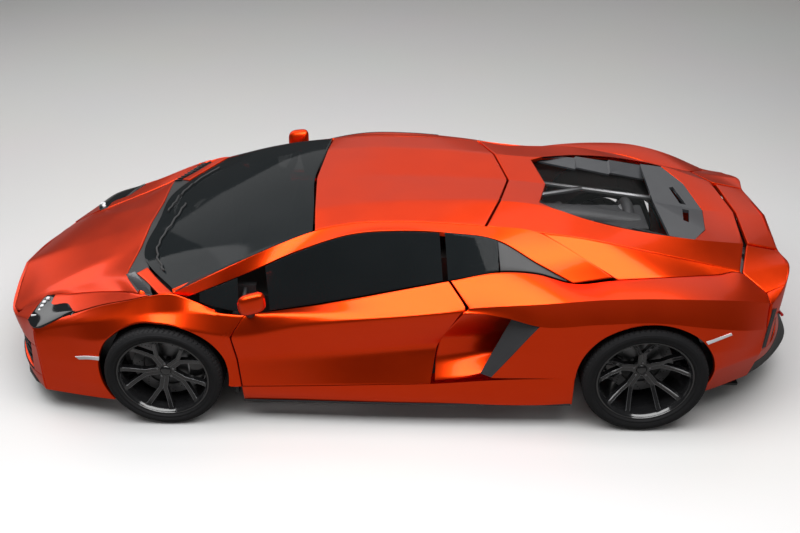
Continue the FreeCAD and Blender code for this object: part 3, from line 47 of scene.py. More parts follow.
# Feature lines of the body in steps of 100 mm from the front axle's centre on the ground: x rearward,
# y to the car's right, z up.
LINES = {
    "bonnet_centre": ((-10.8, 0, 4.95), (-9.5, 0, 5.46), (-7.1, 0, 6.24), (-4.87, 0, 6.98),
                      (-2.38, 0, 7.86)),
    "bonnet_crease": ((-10.05, 4.6, 4.58), (-8.6, 4.35, 5.38), (-7.1, 4.0, 6.06), (-4.87, 3.3, 6.9),
                      (-2.3, 2.86, 7.77)),
    "bonnet_mid": ((-9.5, 5.2, 4.75), (-8.0, 4.85, 5.6), (-6.4, 4.9, 6.18), (-4.4, 5.0, 6.85),
                   (-2.4, 5.9, 7.72)),
    "bonnet_edge": ((-9.1, 5.5, 4.95), (-7.4, 5.25, 5.85), (-5.6, 5.79, 6.38), (-3.89, 6.37, 6.9),
                    (-2.4, 7.1, 7.37), (-1.05, 8.15, 7.95)),
    "wing_crest": ((-7.38, 7.98, 5.6), (-6.1, 7.9, 6.08), (-4.92, 7.86, 6.5), (-3.4, 8.0, 7.08),
                   (-1.5, 8.4, 7.74), (-0.33, 8.52, 8.1), (0.98, 8.62, 8.3), (2.0, 8.55, 7.85),
                   (3.2, 8.6, 7.36), (4.85, 8.7, 7.12)),
    "shoulder": ((-7.38, 8.15, 5.42), (-6.1, 8.35, 5.92), (-4.92, 8.6, 6.3), (-3.22, 8.9, 6.68),
                 (-1.5, 9.1, 7.06), (-0.27, 9.2, 7.28), (2.45, 9.05, 7.42), (4.8, 8.98, 7.2),
                 (6.26, 9.0, 7.26), (10.08, 9.1, 7.34), (13.35, 9.17, 7.5), (16.0, 9.28, 7.76),
                 (17.4, 9.36, 7.98), (20.85, 9.68, 8.45), (24.5, 9.85, 8.89), (26.4, 9.87, 8.97),
                 (29.26, 9.75, 8.86), (31.5, 9.2, 8.45), (33.6, 8.42, 7.8)),
    "crease": ((-7.4, 8.3, 4.9), (-5.8, 8.6, 5.3), (-3.3, 9.35, 5.6), (-1.5, 9.72, 6.5), (0, 9.8, 6.95),
               (2.0, 9.75, 6.6), (3.94, 9.6, 6.11), (7.9, 9.45, 6.77), (10.66, 9.48, 7.12),
               (13.37, 9.46, 7.38), (16.0, 9.44, 7.62), (17.4, 9.5, 7.74), (19.0, 9.75, 7.62),
               (20.9, 9.98, 7.2), (24.0, 10.12, 7.45), (27.0, 10.15, 7.6), (30.0, 10.0, 7.2),
               (32.3, 9.35, 6.6), (33.7, 8.5, 6.1)),
    "flank": ((-7.4, 8.35, 3.7), (-3.6, 9.3, 4.0), (0, 9.8, 4.6), (4.2, 9.38, 4.4), (8.0, 9.2, 4.6),
              (12.0, 9.0, 4.8), (15.5, 8.75, 5.0), (17.6, 8.4, 5.1)),
    "rear_mid": ((18.0, 9.95, 5.5), (20.0, 9.98, 5.5), (24.0, 10.05, 5.5), (27.0, 10.1, 5.6),
                 (30.5, 9.95, 5.5), (32.0, 9.4, 5.4), (33.7, 8.5, 5.3)),
    "rear_low": ((18.0, 9.89, 3.41), (20.5, 9.93, 3.6), (23.2, 9.98, 3.7), (27.0, 10.0, 3.6),
                 (30.5, 9.75, 4.0), (32.0, 9.2, 4.2), (33.7, 8.55, 4.5)),
    "sill_crease": ((-7.4, 8.4, 2.4), (-3.6, 9.3, 2.5), (3.7, 9.6, 2.65), (8.0, 9.7, 2.8), (12.0, 9.8, 3.0),
                    (15.02, 9.85, 3.14), (19.0, 9.9, 3.5), (23.2, 9.98, 3.7)),
    "sill_bottom": ((-7.4, 8.4, 1.35), (-3.6, 9.2, 1.35), (3.7, 9.3, 1.45), (14.46, 9.75, 1.6),
                    (23.2, 9.85, 1.7), (27.0, 9.5, 1.8), (30.5, 9.0, 2.0), (33.7, 7.6, 2.2)),
    "belt": ((1.68, 8.3, 7.79), (3.2, 8.55, 7.34), (4.71, 8.68, 7.12), (7.81, 8.36, 7.28),
             (10.58, 8.2, 7.74), (13.33, 8.02, 8.24), (16.07, 7.92, 8.8), (18.79, 7.8, 9.35)),
    "rail_outer": ((1.68, 8.3, 7.85), (4.6, 7.82, 8.93), (7.88, 7.2, 10.26), (10.6, 6.72, 11.0),
                   (13.32, 6.5, 11.13), (16.06, 6.42, 10.95), (18.8, 6.52, 10.5), (20.88, 7.4, 9.58),
                   (22.8, 8.1, 8.78)),
    "rail_inner": ((0.98, 8.6, 8.32), (4.6, 7.5, 9.71), (6.73, 6.75, 10.4), (8.55, 6.14, 10.86),
                   (10.6, 5.85, 11.17), (13.2, 5.72, 11.24), (15.3, 5.72, 11.18), (18.0, 5.66, 10.96),
                   (21.14, 5.75, 10.6), (23.15, 7.0, 9.95), (25.0, 7.9, 9.03)),
    "roof_crease": ((8.3, 4.0, 11.05), (11.4, 3.7, 11.36), (15.42, 3.41, 11.38), (18.97, 3.13, 11.22),
                    (21.6, 3.3, 10.95), (24.0, 4.3, 10.62), (30.0, 4.75, 9.66), (33.2, 3.9, 8.9)),
    "roof_centre": ((8.05, 0, 11.03), (10.5, 0, 11.25), (13.13, 0, 11.24), (16.74, 0, 11.16),
                    (19.69, 0, 10.98), (24.0, 0, 10.42), (28.0, 0, 9.7), (31.68, 0, 8.98), (33.6, 0, 8.86)),
    "lid_edge": ((18.0, 5.66, 10.96), (21.14, 5.75, 10.6), (24.32, 6.2, 10.35), (27.2, 6.35, 9.75),
                 (29.9, 6.3, 9.1), (32.5, 6.3, 8.5)),
    "quarter_inner": ((16.07, 7.92, 8.8), (18.79, 7.8, 9.3), (20.9, 7.85, 9.2), (22.8, 8.1, 8.78),
                      (25.0, 8.1, 9.0), (27.5, 7.9, 9.05), (31.05, 6.75, 8.55), (32.5, 6.45, 8.46),
                      (33.6, 7.6, 7.95)),
    "screen_mid": ((-1.75, 4.2, 7.95), (2.0, 4.1, 9.3), (5.0, 3.8, 10.25), (8.35, 3.4, 11.02)),
    "screen_centre": ((-1.95, 0, 8.0), (2.0, 0, 9.45), (5.0, 0, 10.35), (8.05, 0, 11.03)),
}

# Lines round the two ends of the car, from the middle to the right arch, in the same steps
FASCIA = {
    "nose_top": ((-10.84, 0, 4.91), (-10.5, 2.6, 4.76), (-10.07, 4.6, 4.55), (-9.4, 5.7, 4.75),
                 (-8.2, 6.9, 5.3), (-7.4, 8.1, 5.4)),
    "nose_mid": ((-10.55, 0, 4.2), (-10.2, 2.6, 3.95), (-9.75, 4.8, 3.85), (-9.0, 6.2, 3.85),
                 (-8.2, 7.3, 4.0), (-7.4, 8.3, 4.4)),
    "nose_low": ((-10.3, 0, 2.3), (-10.15, 2.6, 2.25), (-9.75, 4.9, 2.3), (-9.1, 6.4, 2.15),
                 (-8.3, 7.5, 2.2), (-7.4, 8.4, 2.4)),
    "nose_lip": ((-10.1, 0, 1.3), (-9.95, 2.6, 1.3), (-9.5, 5.0, 1.3), (-8.8, 6.6, 1.3), (-8.1, 7.6, 1.3),
                 (-7.4, 8.4, 1.35)),
    "tail_top": ((35.6, 0, 8.67), (35.4, 2.4, 8.55), (35.3, 3.9, 8.46), (35.45, 5.38, 8.48),
                 (34.8, 7.0, 8.1), (33.75, 8.35, 7.7)),
    "tail_mid": ((34.9, 0, 7.0), (34.9, 2.4, 7.0), (35.0, 3.9, 6.95), (35.1, 5.8, 6.7), (34.7, 7.2, 6.4),
                 (33.75, 8.45, 6.1)),
    "tail_low": ((35.6, 0, 5.0), (35.6, 2.4, 5.0), (35.5, 3.9, 5.0), (35.2, 6.0, 4.8), (34.5, 7.6, 4.6),
                 (33.55, 8.55, 4.5)),
    "tail_lip": ((36.96, 0, 2.9), (36.9, 2.4, 2.9), (36.6, 4.4, 2.8), (35.4, 6.1, 2.5), (34.4, 7.0, 2.3),
                 (33.4, 7.7, 2.2)),
}


def place(steps):
    """Steps to metres in the row frame: a step is a tenth of a metre, and x counts from the front axle."""
    return np.asarray(steps, float) * STEP + np.array((FRONT_AXLE, 0.0, 0.0))


def smooth(places, knots, wanted):
    """Points at the wanted knot values on the cubic through all places, whose slope at each place is the
    mean of the straight slopes on either side, weighted by the length of the other stretch."""
    p, k, t = np.asarray(places, float), np.asarray(knots, float), np.asarray(wanted, float)
    span = np.diff(k)
    rise = np.diff(p, axis=0) / span[:, None]
    slope = np.vstack([rise[:1], (span[1:, None] * rise[:-1] + span[:-1, None] * rise[1:])
                       / (span[:-1] + span[1:])[:, None], rise[-1:]])
    i = np.clip(np.searchsorted(k, t, side="right") - 1, 0, len(k) - 2)
    u = np.clip((t - k[i]) / span[i], 0, 1)[:, None]
    return (p[i] * (1 + 2 * u) * (1 - u) ** 2 + p[i + 1] * u * u * (3 - 2 * u)
            + span[i][:, None] * u * (1 - u) * (slope[i] * (1 - u) - slope[i + 1] * u))


def even(places, count):
    """Points evenly by length on the smooth curve through a few places."""
    p = np.asarray(places, float)
    length = np.r_[0, np.cumsum(np.linalg.norm(np.diff(p, axis=0), axis=1))]
    return smooth(p, length, np.linspace(0, length[-1], count))


def line(name, start, end, count=64):
    """Points in metres along a feature line between two x steps."""
    p = np.array(LINES[name])
    return place(smooth(p, p[:, 0], np.linspace(start, end, count)))


def on_line(name, x):
    """Places in steps on a feature line at any x steps, held at the line's ends."""
    p = np.array(LINES[name])
    held = np.clip(x.reshape(-1), p[0, 0], p[-1, 0])
    return smooth(p, p[:, 0], held).reshape(x.shape + (3,))


def path(places, count=32):
    """Points in metres evenly along the smooth curve through a few places given in steps."""
    return place(even(places, count))


def flip(points):
    """The mirror image across the car's middle plane: y changes sign."""
    return np.asarray(points) * np.array((1.0, -1.0, 1.0))


def across(rows):
    """Rows given from the right edge to the middle, carried on in mirror image to the left edge."""
    return list(rows) + [flip(row) for row in rows[-2::-1]]


def sheet(rows, fine=GRID_STEP, ease=2, bulge=0.0):
    """A grid between rows of points: straight from row to row in steps of about fine metres, lifted along
    its normal by bulge times 4v(1-v), then the rows are averaged with their neighbours ease times so that
    every crease is a small radius."""
    rows = [np.asarray(row, float) for row in rows]
    out = []
    for a, b in zip(rows, rows[1:]):
        count = max(3, int(np.linalg.norm(b - a, axis=1).mean() / fine))
        v = np.linspace(0, 1, count, endpoint=False)[:, None, None]
        g = a[None] * (1 - v) + b[None] * v
        if bulge:
            lift = np.cross(np.gradient(a, axis=0), b - a)
            lift /= np.linalg.norm(lift, axis=1)[:, None] + 1e-9
            g = g + bulge * 4 * v * (1 - v) * lift[None]
        out.append(g)
    g = np.concatenate(out + [rows[-1][None]])
    for _ in range(ease):
        g[1:-1] = g[1:-1] / 2 + (g[:-2] + g[2:]) / 4
    return g


def patch(*rows, ease=0, bulge=0.0):
    """A grid between smooth curves, each through a row of places given in steps."""
    return sheet([path(row) for row in rows], ease=ease, bulge=bulge)


def crown(rows, count):
    """A grid of count rows on smooth cubic curves that cross the given rows."""
    p = np.stack(rows)
    flat = smooth(p.reshape(len(rows), -1), np.arange(len(rows)), np.linspace(0, len(rows) - 1, count))
    return flat.reshape(count, p.shape[1], 3)


def unit(v):
    """Vectors scaled to length one."""
    return v / (np.linalg.norm(v, axis=-1, keepdims=True) + TINY)


def normals(g):
    """Unit cross product of a grid's two directions at every point."""
    return unit(np.cross(np.gradient(g, axis=1), np.gradient(g, axis=0)))


def cells(rows, columns, turn=False):
    """Corner numbers of the four-sided cells of a grid of rows by columns."""
    i = np.arange(rows - 1)[:, None] * columns + np.arange(columns - 1)[None]
    q = np.stack([i, i + 1, i + columns + 1, i + columns], -1).reshape(-1, 4)
    return q[:, ::-1] if turn else q


class Build:
    """Gathers points and faces, then makes one mesh object or a mirrored pair of them."""

    def __init__(self):
        self.points, self.faces, self.count = [], [], 0

    def add(self, points, faces):
        """Adds points with faces numbered from zero, every face with the same count of corners."""
        points = np.asarray(points, float).reshape(-1, 3)
        self.points.append(points)
        self.faces.append(np.asarray(faces) + self.count)
        self.count += len(points)

    def grid(self, g, turn=False):
        """Adds a grid of points as four-sided cells."""
        self.add(g, cells(g.shape[0], g.shape[1], turn))

    def mesh(self, name, finish, body, slot, nodes=(), angle=38, mirror=False):
        """Joins the parts into an object at the world origin that rides on a body and stands for nodes."""
        points = np.concatenate(self.points)
        if mirror:
            points = flip(points)
        me = bpy.data.meshes.new(name)
        loops = np.concatenate([f.reshape(-1) for f in self.faces])
        sizes = np.concatenate([np.full(len(f), f.shape[1]) for f in self.faces])
        starts = np.r_[0, np.cumsum(sizes)[:-1]]
        me.vertices.add(len(points))
        me.vertices.foreach_set("co", points.reshape(-1).astype(np.float32))
        me.loops.add(len(loops))
        me.loops.foreach_set("vertex_index", loops.astype(np.int32))
        me.polygons.add(len(sizes))
        me.polygons.foreach_set("loop_start", starts.astype(np.int32))
        me.update(calc_edges=True)
        me.validate()
        if mirror:
            me.flip_normals()
        me.set_sharp_from_angle(angle=math.radians(angle))
        me.materials.append(finish)
        ob = bpy.data.objects.new(name, me)
        bpy.context.scene.collection.objects.link(ob)
        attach(ob, body)
        for node in nodes:
            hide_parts(node)

    def pair(self, name, finish, body, slot, nodes=(), angle=38):
        """Makes the right piece and its mirror image. In body and nodes, SIDE stands for the side's name; a
        node without it spans the car, and the left piece, which is made last, replaces it."""
        for mirror, side in SIDES:
            own = [node.replace("SIDE", side) for node in nodes if mirror or "SIDE" in node]
            self.mesh(name + "_" + side, finish, body.replace("SIDE", side), slot, own, angle, mirror)


ROLL_ANGLES = np.radians((90, 60, 30, 0))
ROLL_LINES = len(ROLL_ANGLES) + 1


def add_panel(build, g, out=(0, 0, 1), edges="abcd", gap=0.002, roll=0.004, depth=0.02):
    """Adds a panel with rolled edges. On each named side (a first row, b last row, c first column, d last
    column) the sheet ends short by the gap, turns down through a quarter circle of the roll's radius and
    drops by the depth along the normal; the back is the sheet moved inward by the depth."""
    n = normals(g)
    turn = float((n * np.asarray(out, float)).sum(-1).mean()) < 0
    if turn:
        n = -n
    down = unit(np.gradient(g, axis=0))
    side = unit(np.gradient(g, axis=1))
    inset = np.r_[gap, gap + roll * (1 - np.sin(ROLL_ANGLES))]
    drop = np.r_[depth, roll * (1 - np.cos(ROLL_ANGLES))]

    def stations(count, first, last):
        """Index, shift and drop of each line of the widened grid along one direction."""
        index, shift, sink = np.arange(count), np.zeros(count), np.zeros(count)
        if first:
            index = np.r_[[0] * ROLL_LINES, index[1:]]
            shift, sink = np.r_[inset, shift[1:]], np.r_[drop, sink[1:]]
        if last:
            index = np.r_[index[:-1], [count - 1] * ROLL_LINES]
            shift, sink = np.r_[shift[:-1], -inset[::-1]], np.r_[sink[:-1], drop[::-1]]
        return index, shift, sink

    row, row_shift, row_sink = stations(g.shape[0], "a" in edges, "b" in edges)
    column, column_shift, column_sink = stations(g.shape[1], "c" in edges, "d" in edges)
    at = np.ix_(row, column)
    sink = np.maximum(row_sink[:, None], column_sink[None])
    front = g[at] + down[at] * row_shift[:, None, None] + side[at] * column_shift[None, :, None]
    build.grid(front - n[at] * sink[..., None], not turn)
    back = g - n * depth
    back[0] += down[0] * ("a" in edges) * gap
    back[-1] -= down[-1] * ("b" in edges) * gap
    back[:, 0] += side[:, 0] * ("c" in edges) * gap
    back[:, -1] -= side[:, -1] * ("d" in edges) * gap
    build.grid(back, turn)


def panels(*grids, **options):
    """A build of one or more panels with the same edges."""
    build = Build()
    for g in grids:
        add_panel(build, g, **options)
    return build


def side_y(x, z, names):
    """How far out the flank stands at x, z: straight between neighbouring feature lines at the same x, as a
    weighted mean of what this gives a little below, at and above z, so that creases are rounded."""
    lines = [on_line(name, (np.asarray(x) - FRONT_AXLE) / STEP) * STEP for name in names]
    last = len(lines) - 2
    total = np.zeros_like(x)
    for shift, weight in ((-CREASE_EASE, 0.25), (0.0, 0.5), (CREASE_EASE, 0.25)):
        height = z + shift
        y = lines[0][..., 1]
        for k, (above, below) in enumerate(zip(lines, lines[1:])):
            t = (above[..., 2] - height) / np.maximum(1e-4, above[..., 2] - below[..., 2])
            t = np.clip(t, 0, None if k == last else 1)
            y = np.where(height <= above[..., 2], above[..., 1] + (below[..., 1] - above[..., 1]) * t, y)
        total += weight * y
    return total


def arch_grid(arch, span, outline, names, count=120, rings=22):
    """A grid in the side view between a wheel arch, given as x, z and radius, and an outline round it: rays
    at even angles over a span of degrees, measured from straight up, run from the arch to the outline, and
    the flank's depth is read at every point."""
    arch_x, arch_z, radius = arch
    start, stop = (math.radians(angle) for angle in span)
    o = np.asarray(outline, float) - np.array((arch_x, arch_z))
    corner = np.unwrap(np.arctan2(o[:, 0], o[:, 1]))
    a = np.sort(np.r_[np.linspace(start, stop, count), corner[(corner > start) & (corner < stop)]])
    a = a[np.r_[True, np.diff(a) > 1e-3]]
    dense = np.concatenate([np.linspace(p, q, 40) for p, q in zip(o, o[1:])])
    turned = np.unwrap(np.arctan2(dense[:, 0], dense[:, 1]))
    order = np.argsort(turned)
    reach = np.interp(a, turned[order], np.hypot(dense[:, 0], dense[:, 1])[order])
    t = np.linspace(0, 1, rings)[:, None]
    r = radius * (1 - t) + reach[None] * t
    x, z = arch_x + r * np.sin(a), arch_z + r * np.cos(a)
    return np.stack([x, side_y(x, z, names), z], -1)


COLOUR_A, COLOUR_B, COLOUR_OUT = 6, 7, 2


def socket(tree, kind, **values):
    """A new shader node with some of its inputs or properties set; an underscore in a key is a space."""
    node = tree.nodes.new(kind)
    for key, value in values.items():
        if key.replace("_", " ") in node.inputs:
            node.inputs[key.replace("_", " ")].default_value = value
        else:
            setattr(node, key, value)
    return node


def material(name, base, other, rough, scale, metal=0.0, coat=0.0, grain=1e-6, grain_scale=500.0, **more):
    """A surface whose colour drifts between two tones with soft noise over the object, whose roughness
    drifts with it, and whose fine grain is a bump of a second noise."""
    m = bpy.data.materials.new(name)
    m.use_nodes = True
    t = m.node_tree
    surface = t.nodes["Principled BSDF"]
    places = t.nodes.new("ShaderNodeTexCoord")
    noise = socket(t, "ShaderNodeTexNoise", Scale=scale, Detail=5.0)
    t.links.new(places.outputs["Object"], noise.inputs["Vector"])
    mix = socket(t, "ShaderNodeMix", data_type="RGBA")
    mix.inputs[COLOUR_A].default_value = (*base, 1)
    mix.inputs[COLOUR_B].default_value = (*other, 1)
    t.links.new(noise.outputs["Fac"], mix.inputs[0])
    t.links.new(mix.outputs[COLOUR_OUT], surface.inputs["Base Color"])
    spread = socket(t, "ShaderNodeMapRange", To_Min=rough * 0.85, To_Max=min(1.0, rough * 1.15))
    t.links.new(noise.outputs["Fac"], spread.inputs["Value"])
    t.links.new(spread.outputs["Result"], surface.inputs["Roughness"])
    fine = socket(t, "ShaderNodeTexNoise", Scale=grain_scale, Detail=2.0)
    t.links.new(places.outputs["Object"], fine.inputs["Vector"])
    bump = socket(t, "ShaderNodeBump", Strength=1.0, Distance=grain)
    t.links.new(fine.outputs["Fac"], bump.inputs["Height"])
    t.links.new(bump.outputs["Normal"], surface.inputs["Normal"])
    for key, value in {"Metallic": metal, "Coat_Weight": coat, "Coat_Roughness": 0.07, **more}.items():
        surface.inputs[key.replace("_", " ")].default_value = value
    return m


PAINT = material("paint", (0.93, 0.046, 0.0015), (0.98, 0.056, 0.002), rough=0.33, metal=0.94, coat=0.14,
                 scale=6.0, grain=2e-6, grain_scale=900.0)
GLASS_DARK = material("dark_glass", (0.004, 0.005, 0.006), (0.007, 0.008, 0.009), rough=0.06, coat=0.1,
                      scale=4.0)
GLASS_TINT = material("tinted_glass", (0.008, 0.010, 0.011), (0.012, 0.014, 0.015), rough=0.05, scale=4.0,
                      Alpha=0.86, Specular_IOR_Level=0.1)
GLASS_ENGINE = material("engine_glass", (0.010, 0.012, 0.012), (0.02, 0.022, 0.022), rough=0.05, scale=4.0,
                        Alpha=0.10, Specular_IOR_Level=0.2)
BLACK_SATIN = material("black_satin", (0.018, 0.018, 0.019), (0.028, 0.028, 0.029), rough=0.5, scale=30.0,
                       grain=3e-5, grain_scale=900.0)
RUBBER = material("tyre_rubber", (0.010, 0.010, 0.011), (0.016, 0.016, 0.017), rough=0.7, scale=40.0,
                  grain=4e-5, grain_scale=700.0, Specular_IOR_Level=0.2)
GREY = material("grey_frame", (0.035, 0.036, 0.040), (0.050, 0.052, 0.056), rough=0.36, metal=0.2, coat=0.35,
                scale=12.0, grain=1e-5, grain_scale=900.0)
# Grey metal: the bolts' own colour, and on the spoke bevels a painted highlight
BOLT_AND_EDGE_HIGHLIGHT_GREY = material("machined_edge", (0.20, 0.20, 0.21), (0.26, 0.26, 0.27), rough=0.3, metal=0.7, coat=0.2,
                     scale=60.0)
STEEL = material("brushed_steel", (0.42, 0.42, 0.43), (0.55, 0.55, 0.56), rough=0.32, metal=1.0, scale=90.0)
ALLOY = material("cast_alloy", (0.30, 0.30, 0.31), (0.38, 0.38, 0.39), rough=0.45, metal=0.9, scale=60.0,
                 grain=4e-5)
LEATHER = material("black_leather", (0.018, 0.017, 0.016), (0.028, 0.026, 0.025), rough=0.48, coat=0.1,
                   scale=30.0, grain=1.2e-4, grain_scale=420.0)
ENGINE_BLACK = material("engine_black", (0.022, 0.022, 0.024), (0.045, 0.045, 0.048), rough=0.5, metal=0.2,
                        coat=0.1, scale=20.0, grain=6e-5, grain_scale=300.0)
WHEEL_BLACK = material("wheel_black", (0.010, 0.010, 0.011), (0.016, 0.016, 0.017), rough=0.16, coat=0.8,
                       scale=30.0, grain=4e-6, grain_scale=900.0)
DISC_GREY = material("brake_disc", (0.16, 0.16, 0.165), (0.22, 0.22, 0.225), rough=0.4, metal=0.8,
                     scale=120.0, grain=1e-5, grain_scale=900.0)
LAMP_WHITE = material("lamp_white", (0.75, 0.76, 0.78), (0.82, 0.83, 0.85), rough=0.15, metal=0.1, coat=0.6,
                      scale=30.0)
LAMP_RED = material("lamp_red", (0.35, 0.008, 0.008), (0.45, 0.012, 0.010), rough=0.15, coat=0.8, scale=30.0)

BOX_CORNERS = np.array([(i & 1, i >> 1 & 1, i >> 2 & 1) for i in range(8)])
BOX_FACES = np.array([(0, 2, 3, 1), (4, 5, 7, 6), (0, 1, 5, 4), (2, 6, 7, 3), (0, 4, 6, 2), (1, 3, 7, 5)])


def box(low, high):
    """The eight corners of a box between two places, counted x first, then y, then z."""
    low, high = np.asarray(low, float), np.asarray(high, float)
    return low + BOX_CORNERS * (high - low)


def add_ring(build, outline, x, z, sides=128):
    """Adds a closed outline of (radius, y) pairs carried round a cross-car axis at x, z, from the top."""
    o = np.asarray(outline, float)
    o = np.vstack([o, o[:1]])
    a = np.linspace(0, TURN, sides + 1)
    g = np.stack([x + o[:, :1] * np.sin(a), np.repeat(o[:, 1:], sides + 1, 1), z + o[:, :1] * np.cos(a)], -1)
    build.grid(g)


def add_stud(build, outline, x, z, sides, turn=True):
    """Adds an open outline of (radius, y) pairs carried round a cross-car axis at x, z, from the rear."""
    o = np.asarray(outline, float)
    a = np.linspace(0, TURN, sides + 1)
    g = np.stack([x + o[:, :1] * np.cos(a), np.repeat(o[:, 1:], sides + 1, 1), z + o[:, :1] * np.sin(a)], -1)
    build.grid(g, turn)


def add_tube(build, points, radius, sides=14):
    """Adds a round pipe along points: circles stand square to the path's direction."""
    p = np.asarray(points, float)
    t = unit(np.gradient(p, axis=0))
    steep = abs(t[:, 2]).max() >= 0.95
    u = unit(np.cross(t, (1.0, 0.0, 0.0) if steep else (0.0, 0.0, 1.0)))
    v = np.cross(t, u)
    a = np.linspace(0, TURN, sides + 1)
    r = np.broadcast_to(np.asarray(radius, float), (len(p),))[:, None, None]
    g = p[:, None] + r * (u[:, None] * np.cos(a)[None, :, None] + v[:, None] * np.sin(a)[None, :, None])
    build.grid(g)
    for end in (0, -1):
        build.add(np.vstack([g[end][:-1], p[end]]), [(i, (i + 1) % sides, sides) for i in range(sides)])


# Lids, roof and glass across the car
bonnet = sheet(across([line("bonnet_edge", -9.0, -1.05), line("bonnet_mid", -9.5, -2.4),
                       line("bonnet_crease", -10.0, -2.3), line("bonnet_centre", -10.7, -2.38)]), ease=3)
panels(bonnet).mesh("bonnet", PAINT, "front_lid_body", "paint", ["front_lid"])
roof = sheet(across([line("rail_inner", 8.6, 18.0), line("roof_crease", 8.4, 18.9),
                     line("roof_centre", 8.1, 19.6)]))
panels(roof, gap=0.0012, roll=0.002).mesh("roof", PAINT, "body", "paint", ["roof_panel"])
screen = crown(across([line("rail_inner", 1.1, 8.5), line("screen_mid", -1.75, 8.3),
                       line("screen_centre", -1.9, 8.0)]), 60)
panels(screen, roll=0.002, depth=0.005).mesh("screen", GLASS_TINT, "body", "glass", ["windscreen"])

# Wings, quarters, rails, doors and sills. An arch is its middle's x and z and its radius.
FRONT_ARCH, REAR_ARCH = (FRONT_AXLE, 0.338, 0.366), (REAR_AXLE, 0.362, 0.386)
FRONT_NAMES = ("wing_crest", "shoulder", "crease", "flank", "sill_crease", "sill_bottom")
REAR_NAMES = ("shoulder", "crease", "rear_mid", "rear_low", "sill_bottom")
ARCH_ROLL = 0.006


def xz(places):
    """Side-view outline in metres of places given in steps as (x, z)."""
    return np.asarray(places, float) * STEP + np.array((FRONT_AXLE, 0.0))


crest = line("wing_crest", -7.36, 4.85, 60)[:, ::2]
wing_outline = np.vstack([xz([(-3.02, 1.37), (-7.38, 1.36), (-7.38, 5.55)]), crest,
                          xz([(4.83, 7.16), (4.03, 6.11), (4.22, 4.4), (4.37, 2.66), (3.58, 2.62)])])
wing_side = arch_grid(FRONT_ARCH, (-122.5, 101.5), wing_outline, FRONT_NAMES)
wing_top = sheet([line("bonnet_edge", -7.0125, -1.05), line("wing_crest", -7.0125, -0.33)], ease=1)
wing = panels(wing_side, out=OUTWARD, edges="abd", roll=ARCH_ROLL)
add_panel(wing, wing_top, edges="acd")
wing.pair("wing", PAINT, "body", "paint", ["front_wings"])

crease = line("crease", 20.9, 33.68, 60)[:, ::2]
flank_outline = np.vstack([xz([(18.42, 3.68), (19.65, 5.45)]), crease,
                           xz([(33.68, 5.3), (33.6, 4.4), (33.5, 2.25), (30.52, 2.0)])])
flank = arch_grid(REAR_ARCH, (-90.3, 114.6), flank_outline, REAR_NAMES)
haunch = sheet([line("quarter_inner", 16.08, 33.6), line("shoulder", 17.08, 33.6)], ease=0, bulge=0.004)
strip = sheet([line("shoulder", 17.08, 33.6), line("crease", 16.8, 33.7)], ease=0, bulge=-0.003)
deck_side = sheet([line("lid_edge", 21.2, 32.4), line("quarter_inner", 25.2, 32.5)], ease=0)
quarter = panels(flank, out=OUTWARD, edges="acd", roll=ARCH_ROLL)
add_panel(quarter, haunch, edges="acd")
add_panel(quarter, strip, OUTWARD, "cd")
add_panel(quarter, deck_side)
quarter.pair("quarter", PAINT, "body", "paint", ["quarter_panels"])

rail = sheet([line("rail_inner", 0.98, 25.0, 160), line("rail_outer", 1.68, 22.8, 160)], fine=0.006, ease=0,
             bulge=-0.002)
panels(rail, out=(0, 1, 1), edges="abd", depth=0.03).pair("rail", PAINT, "body", "paint", ["side_frames"])
door = sheet([line("belt", 4.95, 16.0, 120), line("shoulder", 4.85, 17.0, 120),
              line("crease", 4.05, 16.7, 120), line("flank", 4.25, 15.4, 120),
              line("sill_crease", 4.4, 15.05, 120)], ease=3)
panels(door, out=OUTWARD, depth=0.08).pair("door_skin", PAINT, "door_SIDE_body", "paint", ["door_SIDE"])
sill = sheet([line("sill_crease", 4.35, 23.1), line("sill_bottom", 4.35, 23.1)], ease=0, bulge=0.004)
panels(sill, out=OUTWARD, edges="bcd", depth=0.1).pair("sill", PAINT, "body", "paint", ["side_sills"])

# Nose skin, with a mouth on each side between two distances from the middle
MOUTH_IN, MOUTH_OUT, FAR, OVERLAP = 0.22, 0.74, 9.0, 0.01
FASCIA_ROLL = 0.003


def fascia(name, count=90):
    """A line from the left arch round the end of the car to the right arch."""
    half = path(FASCIA[name], count)
    return np.vstack([flip(half[:0:-1]), half])


def between(row, first, last):
    """The numbers of a row's points whose y lies between two values."""
    return np.where((row[:, 1] >= first) & (row[:, 1] <= last))[0]


top, mid, low, lip = (fascia(name) for name in ("nose_top", "nose_mid", "nose_low", "nose_lip"))
nose = Build()
add_panel(nose, sheet([top, mid], ease=0, bulge=0.004), FORWARD, roll=FASCIA_ROLL)
add_panel(nose, sheet([low, lip], ease=0, bulge=0.003), FORWARD, roll=FASCIA_ROLL)
for first, last in ((-FAR, -MOUTH_OUT), (-MOUTH_IN, MOUTH_IN), (MOUTH_OUT, FAR)):
    k = between(mid, first, last)
    add_panel(nose, sheet([mid[k], low[k]], ease=0), FORWARD, gap=0.0, roll=FASCIA_ROLL)
lamp_bridge = patch(((-9.5, 5.62, 4.73), (-8.15, 6.93, 5.31)), ((-9.08, 5.49, 4.96), (-7.5, 5.27, 5.86)))
for g in (lamp_bridge, flip(lamp_bridge)):
    add_panel(nose, g, gap=-0.001, roll=0.001)
nose.mesh("nose", PAINT, "body", "paint", ["front_bumper"])

